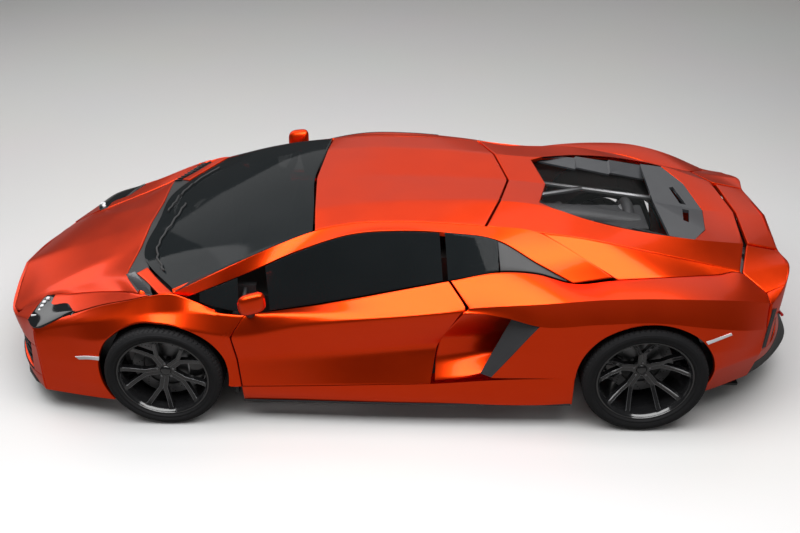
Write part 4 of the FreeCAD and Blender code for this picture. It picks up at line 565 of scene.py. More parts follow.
# Each duct narrows from its mouth to an outline further back, behind three bars
k = between(mid, MOUTH_IN - OVERLAP, MOUTH_OUT + OVERLAP)
mouth = np.vstack([mid[k], low[k][::-1], mid[k[:1]]])
throat = np.vstack([path(((-8.1, 3.0, 3.8), (-8.1, 5.7, 3.8)), len(k)),
                    path(((-8.1, 5.7, 1.8), (-8.1, 3.0, 1.8)), len(k)), place(((-8.1, 3.0, 3.8),))])
duct = Build()
duct.grid(np.stack([mouth + (throat - mouth) * t for t in (0.0, 0.06, 0.3, 0.7, 1.0)]))
for t in (0.3, 0.55, 0.8):
    add_tube(duct, mid[k] * (1 - t) + low[k] * t + (0.012, -0.01, 0), 0.0045, 8)
duct.pair("nose_duct", BLACK_SATIN, "body", "black_trim")

# Tail skin, on either side of a dark panel and above and below it
PANEL_HALF = 0.76
top, mid, low, lip = (fascia(name) for name in ("tail_top", "tail_mid", "tail_low", "tail_lip"))
foot = low * 0.5 + lip * 0.5
tail = Build()
add_panel(tail, sheet([top, mid], ease=0, bulge=-0.004), REARWARD, roll=FASCIA_ROLL)
add_panel(tail, sheet([low, foot], ease=0), REARWARD, roll=FASCIA_ROLL)
for first, last in ((-FAR, -PANEL_HALF), (PANEL_HALF, FAR)):
    k = between(mid, first, last)
    add_panel(tail, sheet([mid[k], low[k]], ease=0), REARWARD, gap=0.0, roll=FASCIA_ROLL)
deck_corner = patch(((33.33, 4.0, 8.88), (35.3, 3.95, 8.46)), ((32.51, 6.37, 8.47), (35.45, 5.4, 8.48)),
                    ((33.62, 7.62, 7.94), (34.75, 7.1, 8.1)), ease=1)
tail_corner = patch(((33.63, 7.62, 7.94), (34.8, 7.02, 8.1)), ((33.63, 8.42, 7.78), (33.85, 8.28, 7.73)))
for g in (deck_corner, flip(deck_corner)):
    add_panel(tail, g)
for g in (tail_corner, flip(tail_corner)):
    add_panel(tail, g, gap=0.0, roll=0.002)
tail.mesh("tail_skin", PAINT, "body", "paint", ["rear_bumper"])

# The dark panel with thin bars, over a foot with four upright fins
PANEL_SET_BACK, FIN_HALF = 0.022, 0.006
k = between(mid, -PANEL_HALF - OVERLAP, PANEL_HALF + OVERLAP)
dark = Build()
add_panel(dark, sheet([foot, lip], ease=0), REARWARD, roll=FASCIA_ROLL)
add_panel(dark, sheet([mid[k], low[k]], ease=0) - (PANEL_SET_BACK, 0, 0), REARWARD, gap=0.0)
for t in np.linspace(0.08, 0.92, 8):
    add_tube(dark, mid[k] * (1 - t) + low[k] * t - (0.012, 0, 0), 0.0035, 8)
fin_line = place(((33.6, 0, 1.35), (34.9, 0, 1.6), (36.1, 0, 2.2)))
for y in (-0.42, -0.21, 0.21, 0.42):
    fin = np.stack([fin_line + (0, y + edge, 0) for edge in (-FIN_HALF, FIN_HALF)])
    add_panel(dark, fin, gap=0.0, roll=0.001, depth=0.05)
dark.mesh("tail_panel", BLACK_SATIN, "body", "black_trim")
TAIL_LIGHTS = (((34.95, 5.0, 6.35), (35.0, 5.9, 5.9), (34.85, 7.3, 6.25)),
               ((35.28, 5.2, 5.25), (35.08, 5.95, 5.85), (35.0, 6.3, 5.9)))
lights = Build()
for hand in (1, -1):
    for places in TAIL_LIGHTS:
        add_tube(lights, (path(places) + (0.004, 0, 0)) * (1, hand, 1), 0.009, 10)
lights.mesh("tail_lights", LAMP_RED, "body", "lamp", ["tail_lamps"])
tail_blade = sheet(across([path(((33.45, 3.8, 8.87), (35.25, 3.8, 8.5))),
                           path(((33.75, 0, 8.85), (35.5, 0, 8.66)))]), ease=1)
panels(tail_blade).mesh("tail_blade", PAINT, "tail_wing_body", "paint", ["tail_wing"])

# Engine lid: a painted rim round a dark insert, on a grid whose v runs from -1 to 1 between the creases
LID_V = np.linspace(-1, 1, 121)


def lid_point(x, v):
    """The lid's surface at x steps and v: the height is straight from the crease to the middle line."""
    x, v = np.broadcast_arrays(np.asarray(x, float), np.asarray(v, float))
    side, middle = on_line("roof_crease", x), on_line("roof_centre", x)
    z = middle[..., 2] + (side[..., 2] - middle[..., 2]) * np.abs(v)
    return place(np.stack([x, v * side[..., 1], z], -1))


def edge_at(*pairs):
    """x along v, straight between a few (v, x) pairs and the same on both sides."""
    v, x = zip(*pairs)
    return np.interp(np.abs(LID_V), v, x)


def lid_patch(first, last, count):
    """A grid on the lid from one edge to another."""
    t = np.linspace(0, 1, count)[:, None]
    return lid_point(first[None] * (1 - t) + last[None] * t, LID_V[None])


front_edge, hole_front = edge_at((0, 19.69), (1, 18.99)), edge_at((0, 21.96), (0.88, 21.31), (1, 22.1))
hole_back, back_edge = edge_at((0, 31.68), (0.66, 31.1), (1, 30.0)), edge_at((0, 33.62), (1, 33.18))
lid_side = sheet([line("lid_edge", 18.1, 32.42, 100), line("roof_crease", 19.0, 33.18, 100)], ease=0)
lid = panels(lid_patch(front_edge, hole_front, 12), lid_patch(hole_back, back_edge, 16), edges="ab")
for g in (lid_side, flip(lid_side)):
    add_panel(lid, g, edges="acd")
lid.mesh("lid_skin", PAINT, "engine_lid_body", "paint", ["engine_lid"])

# Glass at the sides
PANE_EDGE = {"depth": 0.004, "roll": 0.001}
pane = sheet([line("rail_outer", 5.95, 15.5) + (0, 0.011, 0),
              line("belt", 6.15, 15.7) - (0, 0.006, 0)], ease=0)
pane = panels(pane, out=OUTWARD, **PANE_EDGE)
pane.pair("pane", GLASS_TINT, "door_SIDE_body", "glass", ["door_glass_SIDE"])
cheek = sheet([line("rail_outer", 18.65, 22.5), line("quarter_inner", 18.8, 22.5)], ease=0)
panels(cheek - (0, 0.012, 0.004), out=OUTWARD, depth=0.006).pair("cheek", BLACK_SATIN, "body", "black_trim")
fixed = Build()
for ends in ((2.3, 4.45, 2.3, 4.5), (15.75, 18.7, 15.95, 18.75)):
    pane = sheet([line("rail_outer", *ends[:2]), line("belt", *ends[2:])], ease=0)
    add_panel(fixed, pane, OUTWARD, **PANE_EDGE)
    add_panel(fixed, flip(pane), (0, -1, 0), **PANE_EDGE)
fixed.mesh("fixed_panes", GLASS_TINT, "body", "glass", ["fixed_side_windows"])

# Wheels, tyres and brakes, drawn on the right in metres: rim and disc are radii, track is the y of the
# wheel's middle plane and dish is the hub's depth behind the lip. star and caliper are the angles, in
# degrees up from straight back, of the first spoke and of the caliper's middle.
Wheel = namedtuple("Wheel", "x radius width rim track disc dish star caliper holder")
WHEELS = {"front": Wheel(x=FRONT_AXLE, radius=0.33, width=0.255, rim=0.259, track=0.86, disc=0.198,
                         dish=0.070, star=41.0, caliper=0.0, holder="upright_SIDE_body"),
          "rear": Wheel(x=REAR_AXLE, radius=0.354, width=0.335, rim=0.272, track=0.85, disc=0.188,
                        dish=0.110, star=23.0, caliper=180.0, holder="body")}
LIP_INSET, SPOKE_RISE, DISC_INSET = 0.022, 0.006, 0.026
SPOKES, BOLTS, VANES, HOLE_ROWS, HOLES_IN_ROW = 5, 5, 48, 15, 4

# Tread: places and widths as shares of the half width or of a block's pitch, then depths in metres
TREAD_BLOCKS, GROOVES, GROOVE_HALF = 72, (-0.58, -0.2, 0.2, 0.58), 0.045
CUT_SLANT, CUT_WIDTH, CUT_FROM = 1.6, 0.16, 0.62
SLIT_SLANT, SLIT_WIDTH, SLIT_TO = 2.2, 0.12, 0.5
GROOVE_DEPTH, SLIT_DEPTH, TREAD_CROWN, RING_SIZE = 0.006, 0.003, 0.002, 0.0012

# Arms of the spokes, the grey lines on them that paint the highlight their bevels catch, the bolts and the
# disc's holes, in metres and radians
ARM_DEPTH, ARM_BEVEL, ARM_FOOT, FOOT_DEPTH = 0.030, 0.003, (0.023, 0.040), 0.026
LINE_WIDTH, LINE_DEPTH, LINE_BEVEL, LINE_SINK = 0.0028, 0.0016, 0.0006, 0.0012
BOLT_CIRCLE, BOLT_SIZE, BOLT_START = 0.047, 0.0075, 0.3
HOLE_INSET, HOLE_PITCH, HOLE_SPIRAL = 0.052, 0.0145, 0.07
CALIPER_HALF_SPAN, CALIPER_POINTS = 27, 25


def lip_y(wheel):
    """How far out the rim's lip stands."""
    return wheel.track + wheel.width / 2 - LIP_INSET


def face_y(wheel):
    """How far out the hub's face stands."""
    return lip_y(wheel) - wheel.dish + SPOKE_RISE


def tyre_mesh(build, wheel):
    """The tyre's outer skin: a smooth profile carried round the axle. On the tread, four grooves run round
    it, slanted cuts sink the outer ribs and fine slits the inner ones; where the turn plus the slant is
    within the cut's width of a whole number of blocks, the radius is less by its depth. The sidewall has a
    rim guard and fine rings."""
    half, radius, rim = wheel.width / 2, wheel.radius, wheel.rim
    shoulder = half - 0.027
    side = [(rim - 0.004, half - 0.022), (rim + 0.004, half - 0.012), (rim + 0.010, half - 0.004),
            (rim + 0.018, half - 0.0045), (radius * 0.5 + rim * 0.5, half + 0.001),
            (radius - 0.020, half - 0.005), (radius - 0.0085, half - 0.014), (radius - 0.002, shoulder)]
    edge = even(side, 36)
    y = np.linspace(shoulder, -shoulder, 61)
    tread = np.stack([radius - TREAD_CROWN * (y / shoulder) ** 2, y], -1)
    profile = np.concatenate([edge, tread[1:-1], (edge * (1, -1))[::-1]])
    height, across_y = profile[:, :1], profile[:, 1:]
    share = across_y / half
    turns = np.linspace(0, TURN, 361)
    blocks = turns[None] * TREAD_BLOCKS / TURN
    groove = np.any([np.abs(share - at) < GROOVE_HALF for at in GROOVES], axis=0)
    cut = ((blocks + share * CUT_SLANT) % 1.0 < CUT_WIDTH) & (np.abs(share) > CUT_FROM)
    slit = ((blocks - np.abs(share) * SLIT_SLANT) % 1.0 < SLIT_WIDTH) & (np.abs(share) < SLIT_TO)
    depth = GROOVE_DEPTH * np.maximum(groove, cut) + SLIT_DEPTH * slit * (1 - groove)
    r = height - np.where(height > radius - 0.0105, depth, 0.0)
    ring = np.any([np.abs(height - at) < RING_SIZE for at in (rim + 0.026, radius - 0.026)], axis=0)
    out = wheel.track + across_y + np.sign(across_y) * RING_SIZE * ring
    build.grid(np.stack([wheel.x + r * np.sin(turns), np.repeat(out, len(turns), 1),
                         radius + r * np.cos(turns)], -1), True)


def rim_mesh(build, wheel):
    """The rim's barrel with its rounded outer lip: a closed profile carried round the axle."""
    rim, lip = wheel.rim, lip_y(wheel)
    back = wheel.track - wheel.width / 2 + LIP_INSET
    profile = [(rim - 0.001, lip - 0.004), (rim + 0.001, lip + 0.003), (rim, lip + 0.0075),
               (rim - 0.004, lip + 0.009), (rim - 0.009, lip + 0.0085), (rim - 0.0115, lip + 0.005),
               (rim - 0.013, lip - 0.003), (rim - 0.018, lip - 0.008), (rim - 0.0215, lip - 0.016),
               (rim - 0.0225, lip - 0.035), (rim - 0.0225, back + 0.02), (rim - 0.014, back - 0.002),
               (rim - 0.002, back - 0.008), (rim - 0.002, back - 0.004), (rim - 0.014, back + 0.004),
               (rim - 0.017, back + 0.02), (rim - 0.017, lip - 0.03)]
    add_ring(build, profile, wheel.x, wheel.radius, 160)


def cut_bar(build, points, side, face, width, depth, bevel):
    """A bar along points with a flat face and bevelled edges: across the path lie the base, the bevel and
    the face, each at a signed share of the width."""
    w = np.broadcast_to(np.asarray(width, float), (len(points),))[:, None]
    shape = ((-0.62, -1, 0), (-0.5, 0, -1), (-0.5, 0, 1), (0.5, 0, 1), (0.5, 0, -1), (0.62, -1, 0))
    rows = []
    for share, down, inner in shape:
        edge = np.sign(share) * bevel * (inner > 0)
        rows.append(points + side * (share * w - edge) + face * (down * depth - bevel * (inner < 0)))
    build.grid(np.stack(rows, 1), True)
    for end in (0, -1):
        build.add(np.stack([row[end] for row in rows]), [(0, 1, 2, 3, 4, 5)])


def star_mesh(build, highlight_lines_and_bolts, wheel):
    """Five forked spokes: from the hub each runs as two arms that lie side by side, part half way out and
    bend to the rim, with grey lines laid on their bevels as a painted highlight. At a share t of the way, an
    arm has risen from the hub's face towards the lip by a quarter of t and three quarters of t to the power
    2.2."""
    lip, face = lip_y(wheel), face_y(wheel)
    end = wheel.rim - 0.021
    reach = np.array((0.035, 0.062, 0.095, 0.113, 0.120, 0.128, 0.165, 0.20, end - 0.012, end + 0.004))
    t = (reach - reach[0]) / (reach[-1] - reach[0])
    y = face + (lip - 0.008 - face) * (0.25 * t + 0.75 * t ** 2.2)
    aside = np.interp(reach, (0.0, 0.116, end), (0.0105, 0.0105, 0.067))
    wide = np.interp(reach, (0.035, 0.095, 0.15, end), (0.022, 0.0225, 0.0205, 0.023))
    for k in range(SPOKES):
        for hand in (-1, 1):
            a = math.radians(wheel.star + 360 / SPOKES * k) + hand * np.arcsin(aside / reach)
            p = np.stack([wheel.x + reach * np.cos(a), y, wheel.radius + reach * np.sin(a)], -1)
            along = unit(np.gradient(p, axis=0))
            side = unit(np.cross(along, (0.0, 1.0, 0.0)))
            out = unit(np.cross(side, along))
            cut_bar(build, p, side, out, wide, ARM_DEPTH, ARM_BEVEL)
            # Grey lines on both bevels: a painted highlight
            for share in (-0.5, 0.5):
                edge = p + side * (share * wide)[:, None] - out * LINE_SINK
                cut_bar(highlight_lines_and_bolts, edge, side, out, LINE_WIDTH, LINE_DEPTH, LINE_BEVEL)
            cut_bar(build, p[-2:], side[-2:], out[-2:], ARM_FOOT, FOOT_DEPTH, ARM_BEVEL)


def hub_mesh(build, highlight_lines_and_bolts, wheel):
    """The hub: a domed plain cap in a ring, as a closed profile carried round the axle, with the wheel's
    bright six-sided bolts in a circle round it."""
    face = face_y(wheel)
    add_ring(build, [(0.0005, face + 0.012), (0.015, face + 0.0112), (0.025, face + 0.009),
                     (0.030, face + 0.004), (0.032, face + 0.001), (0.036, face), (0.048, face - 0.002),
                     (0.058, face - 0.008), (0.062, face - 0.03), (0.0005, face - 0.03)],
             wheel.x, wheel.radius, 96)
    top, size = face + 0.004, BOLT_SIZE
    head = [(0.0005, top), (size * 0.8, top), (size, top - size * 0.3), (size, top - 0.008)]
    for a in TURN * np.arange(BOLTS) / BOLTS + BOLT_START:
        x, z = wheel.x + BOLT_CIRCLE * math.cos(a), wheel.radius + BOLT_CIRCLE * math.sin(a)
        add_stud(highlight_lines_and_bolts, head, x, z, 6)


def disc_mesh(build, hole_shade_discs, wheel):
    """The brake disc: two rings and a hat, each a closed profile carried round the axle, cooling vanes that
    are boxes turned to even angles, and black discs with brims for drilled holes, painted shade where the
    holes show dark; the holes' angle grows with their distance out so that the rows are spirals."""
    x, radius, disc, middle = wheel.x, wheel.radius, wheel.disc, wheel.track - DISC_INSET
    for side in (-1, 1):
        y = middle + side * 0.009
        add_ring(build, [(disc - 0.062, y), (disc - 0.0608, y + side * 0.007),
                         (disc - 0.001, y + side * 0.007), (disc, y + side * 0.006), (disc, y)],
                 x, radius, 144)
    vane = box((disc - 0.058, middle - 0.0092, -0.0016), (disc - 0.002, middle + 0.0092, 0.0016))
    for a in np.arange(VANES) * TURN / VANES:
        c, s = math.cos(a), math.sin(a)
        build.add(np.stack([x + vane[:, 0] * c - vane[:, 2] * s, vane[:, 1],
                            radius + vane[:, 0] * s + vane[:, 2] * c], -1), BOX_FACES)
    add_ring(build, [(0.0635, middle - 0.012), (0.092, middle - 0.008), (disc - 0.060, middle - 0.006),
                     (disc - 0.060, middle + 0.006), (0.094, middle + 0.010), (0.0635, middle + 0.016)],
             x, radius, 96)
    # Each hole is a black disc with a brim on either face: painted shade where the hole shows dark
    for k in range(HOLE_ROWS * HOLES_IN_ROW):
        row, place_in_row = divmod(k, HOLES_IN_ROW)
        reach = disc - HOLE_INSET + HOLE_PITCH * place_in_row
        a = TURN * row / HOLE_ROWS + HOLE_SPIRAL * place_in_row
        for side in (-1, 1):
            brim = [(r, middle + side * (0.016 + up)) for r, up in
                    ((0.0001, 0.0002), (0.0033, 0.0002), (0.0036, 0.0006), (0.0040, 0.0003))]
            add_stud(hole_shade_discs, brim, x + reach * math.cos(a), radius + reach * math.sin(a), 10, side > 0)


def caliper_mesh(build, wheel):
    """The caliper: a section of (radius, y) pairs carried along an arc over the disc's rim, which narrows
    towards its ends with the sixth power of the distance, with four bolt heads on its outer side."""
    x, radius, disc, middle = wheel.x, wheel.radius, wheel.disc, wheel.track - DISC_INSET
    out, deep = disc + 0.0295, disc - 0.0705
    half = CALIPER_HALF_SPAN
    a = np.radians(np.linspace(-half, half, CALIPER_POINTS))[:, None] + math.radians(wheel.caliper)
    section = np.array([(deep, 0.0225), (deep, 0.040), (deep + 0.01, 0.0455), (disc - 0.02, 0.047),
                        (out - 0.012, 0.045), (out, 0.036), (out + 0.001, 0.0), (out, -0.036),
                        (out - 0.012, -0.045), (disc - 0.02, -0.047), (deep + 0.01, -0.0455), (deep, -0.040),
                        (deep, -0.0225), (disc + 0.004, -0.0205), (disc + 0.004, 0.0205), (deep, 0.0225)])
    swell = 1 - 0.10 * np.abs(np.linspace(-1, 1, CALIPER_POINTS)) ** 6
    r, y = section[None, :, 0], middle + section[None, :, 1] * swell[:, None]
    g = np.stack([x + r * np.cos(a), y, radius + r * np.sin(a)], -1)
    build.grid(g)
    for end in (0, -1):
        build.add(g[end][:-1], [tuple(range(len(section) - 1))])
    top, reach = middle + 0.053, disc + 0.012
    head = [(0.0005, top), (0.0055, top), (0.007, middle + 0.0515), (0.007, middle + 0.042)]
    for angle in (-20, -7, 7, 20):
        b = math.radians(angle) + math.radians(wheel.caliper)
        add_stud(build, head, x + reach * math.cos(b), radius + reach * math.sin(b), 12)


for end, wheel in WHEELS.items():
    body = "wheel_" + end + "_SIDE_body"
    tyre, rim, highlight_lines_and_bolts, disc, hole_shade_discs, caliper = (Build() for _ in range(6))
    tyre_mesh(tyre, wheel)
    rim_mesh(rim, wheel)
    star_mesh(rim, highlight_lines_and_bolts, wheel)
    hub_mesh(rim, highlight_lines_and_bolts, wheel)
    disc_mesh(disc, hole_shade_discs, wheel)
    caliper_mesh(caliper, wheel)
    tyre.pair("tyre_skin_" + end, RUBBER, body, "tyre", ["tyre_" + end + "_SIDE"], 30)
    rim.pair("rim_" + end, WHEEL_BLACK, body, "wheel_black", ["wheel_" + end + "_SIDE"], 35)
    # Bolts in grey metal, and grey lines on the spoke bevels that paint the highlight they catch
    highlight_lines_and_bolts.pair("rim_edges_" + end, BOLT_AND_EDGE_HIGHLIGHT_GREY, body, "wheel_black", angle=30)
    disc.pair("disc_" + end, DISC_GREY, body, "exhaust_metal", angle=30)
    # Black discs for the drilled holes: painted shade
    hole_shade_discs.pair("disc_holes_" + end, BLACK_SATIN, body, "black_trim", angle=30)
    caliper.pair("caliper_" + end, WHEEL_BLACK, wheel.holder, "black_trim", angle=35)

# Headlamps: a dark lens over four small units and a bright line
lens = patch(((-7.5, 5.27, 5.88), (-7.0, 5.42, 5.97), (-5.0, 7.8, 6.5)),
             ((-8.15, 6.95, 5.32), (-7.4, 8.0, 5.57), (-5.0, 7.86, 6.5)), bulge=0.006)
panels(lens, gap=-0.003, roll=0.002, depth=0.03).pair("lens", GLASS_DARK, "body", "lamp", ["headlamps"])
units = Build()
for at in place(((-7.3, 5.66, 5.93), (-7.45, 5.92, 5.84), (-7.5, 6.2, 5.75), (-7.55, 6.47, 5.66))):
    units.add(box(at - (0.008, 0.009, 0.006), at + (0.008, 0.009, 0.005)), BOX_FACES)
add_tube(units, path(((-7.95, 6.8, 5.5), (-6.9, 6.95, 5.72), (-6.45, 6.45, 5.98))), 0.006, 8)
units.pair("lamp_units", LAMP_WHITE, "body", "lamp", angle=30)

# Vent at the foot of the screen: slats whose tops reach from a front to a back line, over a dark bed
SLAT_LIFT, SLAT_SLOPE = (0, 0, 0.008), (0.1, 0.14, -0.13)
front_line, back_line = ((-2.36, 5.95, 7.74), (-1.02, 7.95, 7.93)), ((-1.85, 5.85, 7.86), (-0.35, 8.2, 8.05))
slats = Build()
for t in np.linspace(0.0, 1.0, 9):
    top = np.stack([a + (b - a) * t for a, b in np.array((front_line, back_line))])
    slat = np.stack([place(top), place(top + SLAT_SLOPE)]) + SLAT_LIFT
    add_panel(slats, slat, depth=0.003, gap=0, roll=0.001)
slats.pair("vent_slats", GREY, "body", "black_trim", angle=30)
bed = patch(((-1.0, 8.2, 7.9), (-0.3, 8.5, 8.03)), ((-2.35, 5.9, 7.7), (-0.9, 6.4, 7.95)),
            ((-2.25, 2.86, 7.75), (-1.9, 2.9, 7.9)), ((-2.33, 0, 7.85), (-1.97, 0, 7.98)))
panels(bed, gap=-0.004).pair("vent_bed", BLACK_SATIN, "body", "black_trim", ["scuttle"])
cowl = patch(((-1.75, 5.95, 7.9), (-0.9, 7.0, 8.02), (0.15, 8.5, 8.2)),
             ((-1.2, 5.55, 8.05), (-0.15, 7.1, 8.17), (0.95, 8.58, 8.32)))
panels(cowl, gap=0.0, roll=0.003).pair("cowl_strip", PAINT, "body", "paint")

# Side intake: the painted ramp into it, a grey blade at its edge and the dark core behind
ramp = patch(((16.8, 9.42, 7.6), (18.6, 9.2, 7.5), (20.75, 8.8, 7.2)),
             ((15.62, 8.8, 5.6), (17.4, 8.4, 5.55), (19.8, 7.95, 5.5)),
             ((15.36, 8.95, 4.3), (17.0, 8.55, 4.25), (19.0, 8.05, 4.3)),
             ((15.3, 9.75, 3.36), (17.0, 9.6, 3.5), (18.4, 9.3, 3.7)), ease=3)
panels(ramp, out=OUTWARD, gap=-0.002).pair("ramp", PAINT, "body", "paint", ["air_grilles"])
blade = patch(((19.5, 9.3, 7.45), (17.8, 9.5, 3.62)), ((20.92, 9.95, 7.17), (18.42, 9.92, 3.69)))
panels(blade, out=OUTWARD, gap=0.0, depth=0.012).pair("blade", GREY, "body", "carbon")
core = patch(((20.9, 5.1, 6.6), (20.9, 8.8, 6.6)), ((20.9, 5.1, 3.8), (20.9, 8.8, 3.8)))
panels(core, out=FORWARD).pair("side_core", BLACK_SATIN, "body", "black_trim")

# Marker strips on the sides, the blade under each sill and the slot at each rear corner
front_strip = patch(((-4.97, 9.06, 4.27), (-4.3, 9.22, 4.43), (-3.49, 9.36, 4.48)),
                    ((-4.76, 9.08, 4.08), (-4.2, 9.22, 4.2), (-3.54, 9.36, 4.24)))
rear_strip = patch(((29.94, 10.05, 6.34), (31.31, 9.75, 6.72)), ((30.08, 10.05, 6.14), (31.4, 9.74, 6.56)))
strips = panels(front_strip, rear_strip, out=OUTWARD, gap=0.0, roll=0.001, depth=0.004)
strips.pair("side_strip", LAMP_WHITE, "body", "lamp")
sill_blade = patch(((4.4, 9.45, 1.5), (14.4, 9.85, 1.62), (23.0, 9.95, 1.72)),
                   ((4.6, 9.1, 1.3), (14.4, 9.4, 1.36), (23.0, 9.5, 1.42)))
sill_blade = panels(sill_blade, out=OUTWARD, gap=0.0, roll=0.002, depth=0.01)
sill_blade.pair("sill_blade", BLACK_SATIN, "body", "carbon")
slot = patch(((34.2, 8.05, 7.2), (33.86, 8.4, 7.3)), ((33.95, 8.35, 4.75), (33.68, 8.58, 4.8)))
panels(slot, out=(1, 1, 0), gap=0.0, depth=0.004).pair("tail_slot", BLACK_SATIN, "body", "black_trim")


# Mirrors
def blunt(w):
    """Sign of w times its size to the power 0.6, which swells a circle towards a square."""
    return np.sign(w) * np.abs(w) ** 0.6


def mirror_grid(at):
    """A rounded shell whose section is |x|^(10/3) + |z|^(10/3) = 1, drawn in towards its ends in y, with
    half sizes of 72, 36 and 66 mm and its axes sheared a little."""
    u, v = np.meshgrid(np.linspace(-1, 1, 33) * math.pi / 2, np.linspace(0, TURN, 65), indexing="ij")
    x, y, z = blunt(np.cos(u)) * blunt(np.cos(v)), np.sin(u), blunt(np.cos(u)) * blunt(np.sin(v))
    return at + np.stack([x * 0.072 + y * 0.006, y * 0.036 + x * -0.012 + z * 0.012,
                          z * 0.066 + x * 0.014], -1)


shell, arm = Build(), Build()
shell.grid(mirror_grid(place((5.62, 10.4, 8.86))))
stalk = path(((5.1, 8.95, 7.32), (5.3, 9.5, 7.6), (5.5, 10.2, 8.35)))
add_tube(arm, stalk, np.linspace(0.028, 0.018, len(stalk)), 20)
shell.pair("mirror_shell", PAINT, "door_SIDE_body", "paint", ["mirror_SIDE"], 50)
arm.pair("mirror_arm", BLACK_SATIN, "door_SIDE_body", "black_trim", angle=50)

# Wipers lie along the foot of the screen, between two of its columns and from one row to another
WIPER_POINTS, WIPER_LIFT = 24, 0.010
wipers = Build()
for first_row, last_row in ((52, 26), (27, 8)):
    column = np.round(np.linspace(3, 10, WIPER_POINTS)).astype(int)
    row = np.round(np.linspace(first_row, last_row, WIPER_POINTS)).astype(int)
    add_tube(wipers, screen[row, column] + (0, 0, WIPER_LIFT), 0.006, 8)
wipers.mesh("wipers", BLACK_SATIN, "body", "black_trim")

# What shows under the engine glass: six runners a side with a collar each, a hoop, a pipe and two cables
RUNNERS, RUNNER_PITCH, RUNNER_FALL = 6, 1.25, 0.16
pipes, fittings = Build(), Build()
for hand in (-1, 1):
    for k in range(RUNNERS):
        x, z = 20.6 + RUNNER_PITCH * k, 8.55 - RUNNER_FALL * k
        runner = ((0.7, z), (1.6, z + 0.1), (2.4, z - 0.45), (2.9, z - 1.2))
        add_tube(pipes, path([(x, y * hand, height) for y, height in runner]), 0.028, 16)
        add_tube(fittings, path(((x, 0.98 * hand, z), (x, 1.14 * hand, z + 0.02))), 0.034, 16)
a = np.linspace(0, math.pi, 40)
hoop = np.stack([np.full_like(a, 27.3), 1.1 + 1.35 * np.cos(a), 7.7 + 0.95 * np.sin(a)], -1)
add_tube(pipes, place(hoop), 0.035, 18)
add_tube(pipes, path(((19.8, 0, 8.7), (24.0, 0, 8.45), (27.8, 0, 7.9))), 0.075, 24)
add_tube(fittings, path(((27.2, 1.05, 8.3), (27.2, 1.05, 8.62))), 0.045, 24)
for places in (((22.6, 0.3, 8.92), (24.2, -0.5, 8.75), (25.8, 0.3, 8.5), (27.4, -0.4, 8.2)),
               ((22.0, -1.5, 8.7), (24.2, -1.9, 8.5), (26.0, -1.5, 8.3), (27.4, -1.9, 8.1))):
    add_tube(fittings, path(places), 0.006, 8)
pipes.mesh("engine_runners", ENGINE_BLACK, "body", "engine_metal")
fittings.mesh("engine_fittings", STEEL, "body", "engine_metal")

# Finish of the pieces that keep their solid form
FINISH = {"wheel_arch_liners": BLACK_SATIN, "upright_front_left": ALLOY, "upright_front_right": ALLOY,
          "suspension": ALLOY, "monocoque": BLACK_SATIN, "front_structure": ALLOY, "rear_structure": ALLOY,
          "undertray": BLACK_SATIN, "exhaust": STEEL, "engine": ENGINE_BLACK, "dashboard": LEATHER,
          "seats": LEATHER, "steering_wheel": LEATHER, "engine_lid_glass": GLASS_ENGINE,
          "engine_lid_frame": GREY}
for name, finish in FINISH.items():
    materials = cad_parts[name].data.materials
    materials.clear()
    materials.append(finish)


# Floor, lamps and camera
def floor_material():
    """A pale floor whose grey deepens, then pales again, with the distance behind the car, as painted
    shading, and which is darker to diffuse and glossy rays, so that it lights and mirrors in the car less
    than it shows."""
    m = bpy.data.materials.new("floor")
    m.use_nodes = True
    t = m.node_tree
    surface = t.nodes["Principled BSDF"]
    places = t.nodes.new("ShaderNodeTexCoord")
    split = t.nodes.new("ShaderNodeSeparateXYZ")
    t.links.new(places.outputs["Object"], split.inputs[0])
    spread = socket(t, "ShaderNodeMapRange", From_Min=-2.0, From_Max=9.0)
    t.links.new(split.outputs["Y"], spread.inputs["Value"])
    # The grey ramp over distance is painted shading on the floor
    painted_floor_shading = t.nodes.new("ShaderNodeValToRGB")
    t.links.new(spread.outputs["Result"], painted_floor_shading.inputs["Fac"])
    painted_floor_shading.color_ramp.elements[0].color = (0.66, 0.66, 0.66, 1)
    painted_floor_shading.color_ramp.elements[1].color = (0.78, 0.77, 0.76, 1)
    painted_floor_shading.color_ramp.elements.new(0.25).color = (0.60, 0.595, 0.59, 1)
    noise = socket(t, "ShaderNodeTexNoise", Scale=0.6, Detail=3.0)
    t.links.new(places.outputs["Object"], noise.inputs["Vector"])
    mix = socket(t, "ShaderNodeMix", data_type="RGBA", blend_type="MULTIPLY")
    mix.inputs[0].default_value = 0.06
    t.links.new(painted_floor_shading.outputs["Color"], mix.inputs[COLOUR_A])
    t.links.new(noise.outputs["Color"], mix.inputs[COLOUR_B])
    rays = t.nodes.new("ShaderNodeLightPath")
    share = socket(t, "ShaderNodeMath", operation="MULTIPLY_ADD")
    share.inputs[1].default_value = 0.9
    t.links.new(rays.outputs["Is Glossy Ray"], share.inputs[0])
    t.links.new(rays.outputs["Is Diffuse Ray"], share.inputs[2])
    dim = socket(t, "ShaderNodeMix", data_type="RGBA")
    dim.inputs[COLOUR_B].default_value = (0.16, 0.155, 0.15, 1)
    t.links.new(share.outputs[0], dim.inputs[0])
    t.links.new(mix.outputs[COLOUR_OUT], dim.inputs[COLOUR_A])
    t.links.new(dim.outputs[COLOUR_OUT], surface.inputs["Base Color"])
    surface.inputs["Roughness"].default_value = 0.55
    return m


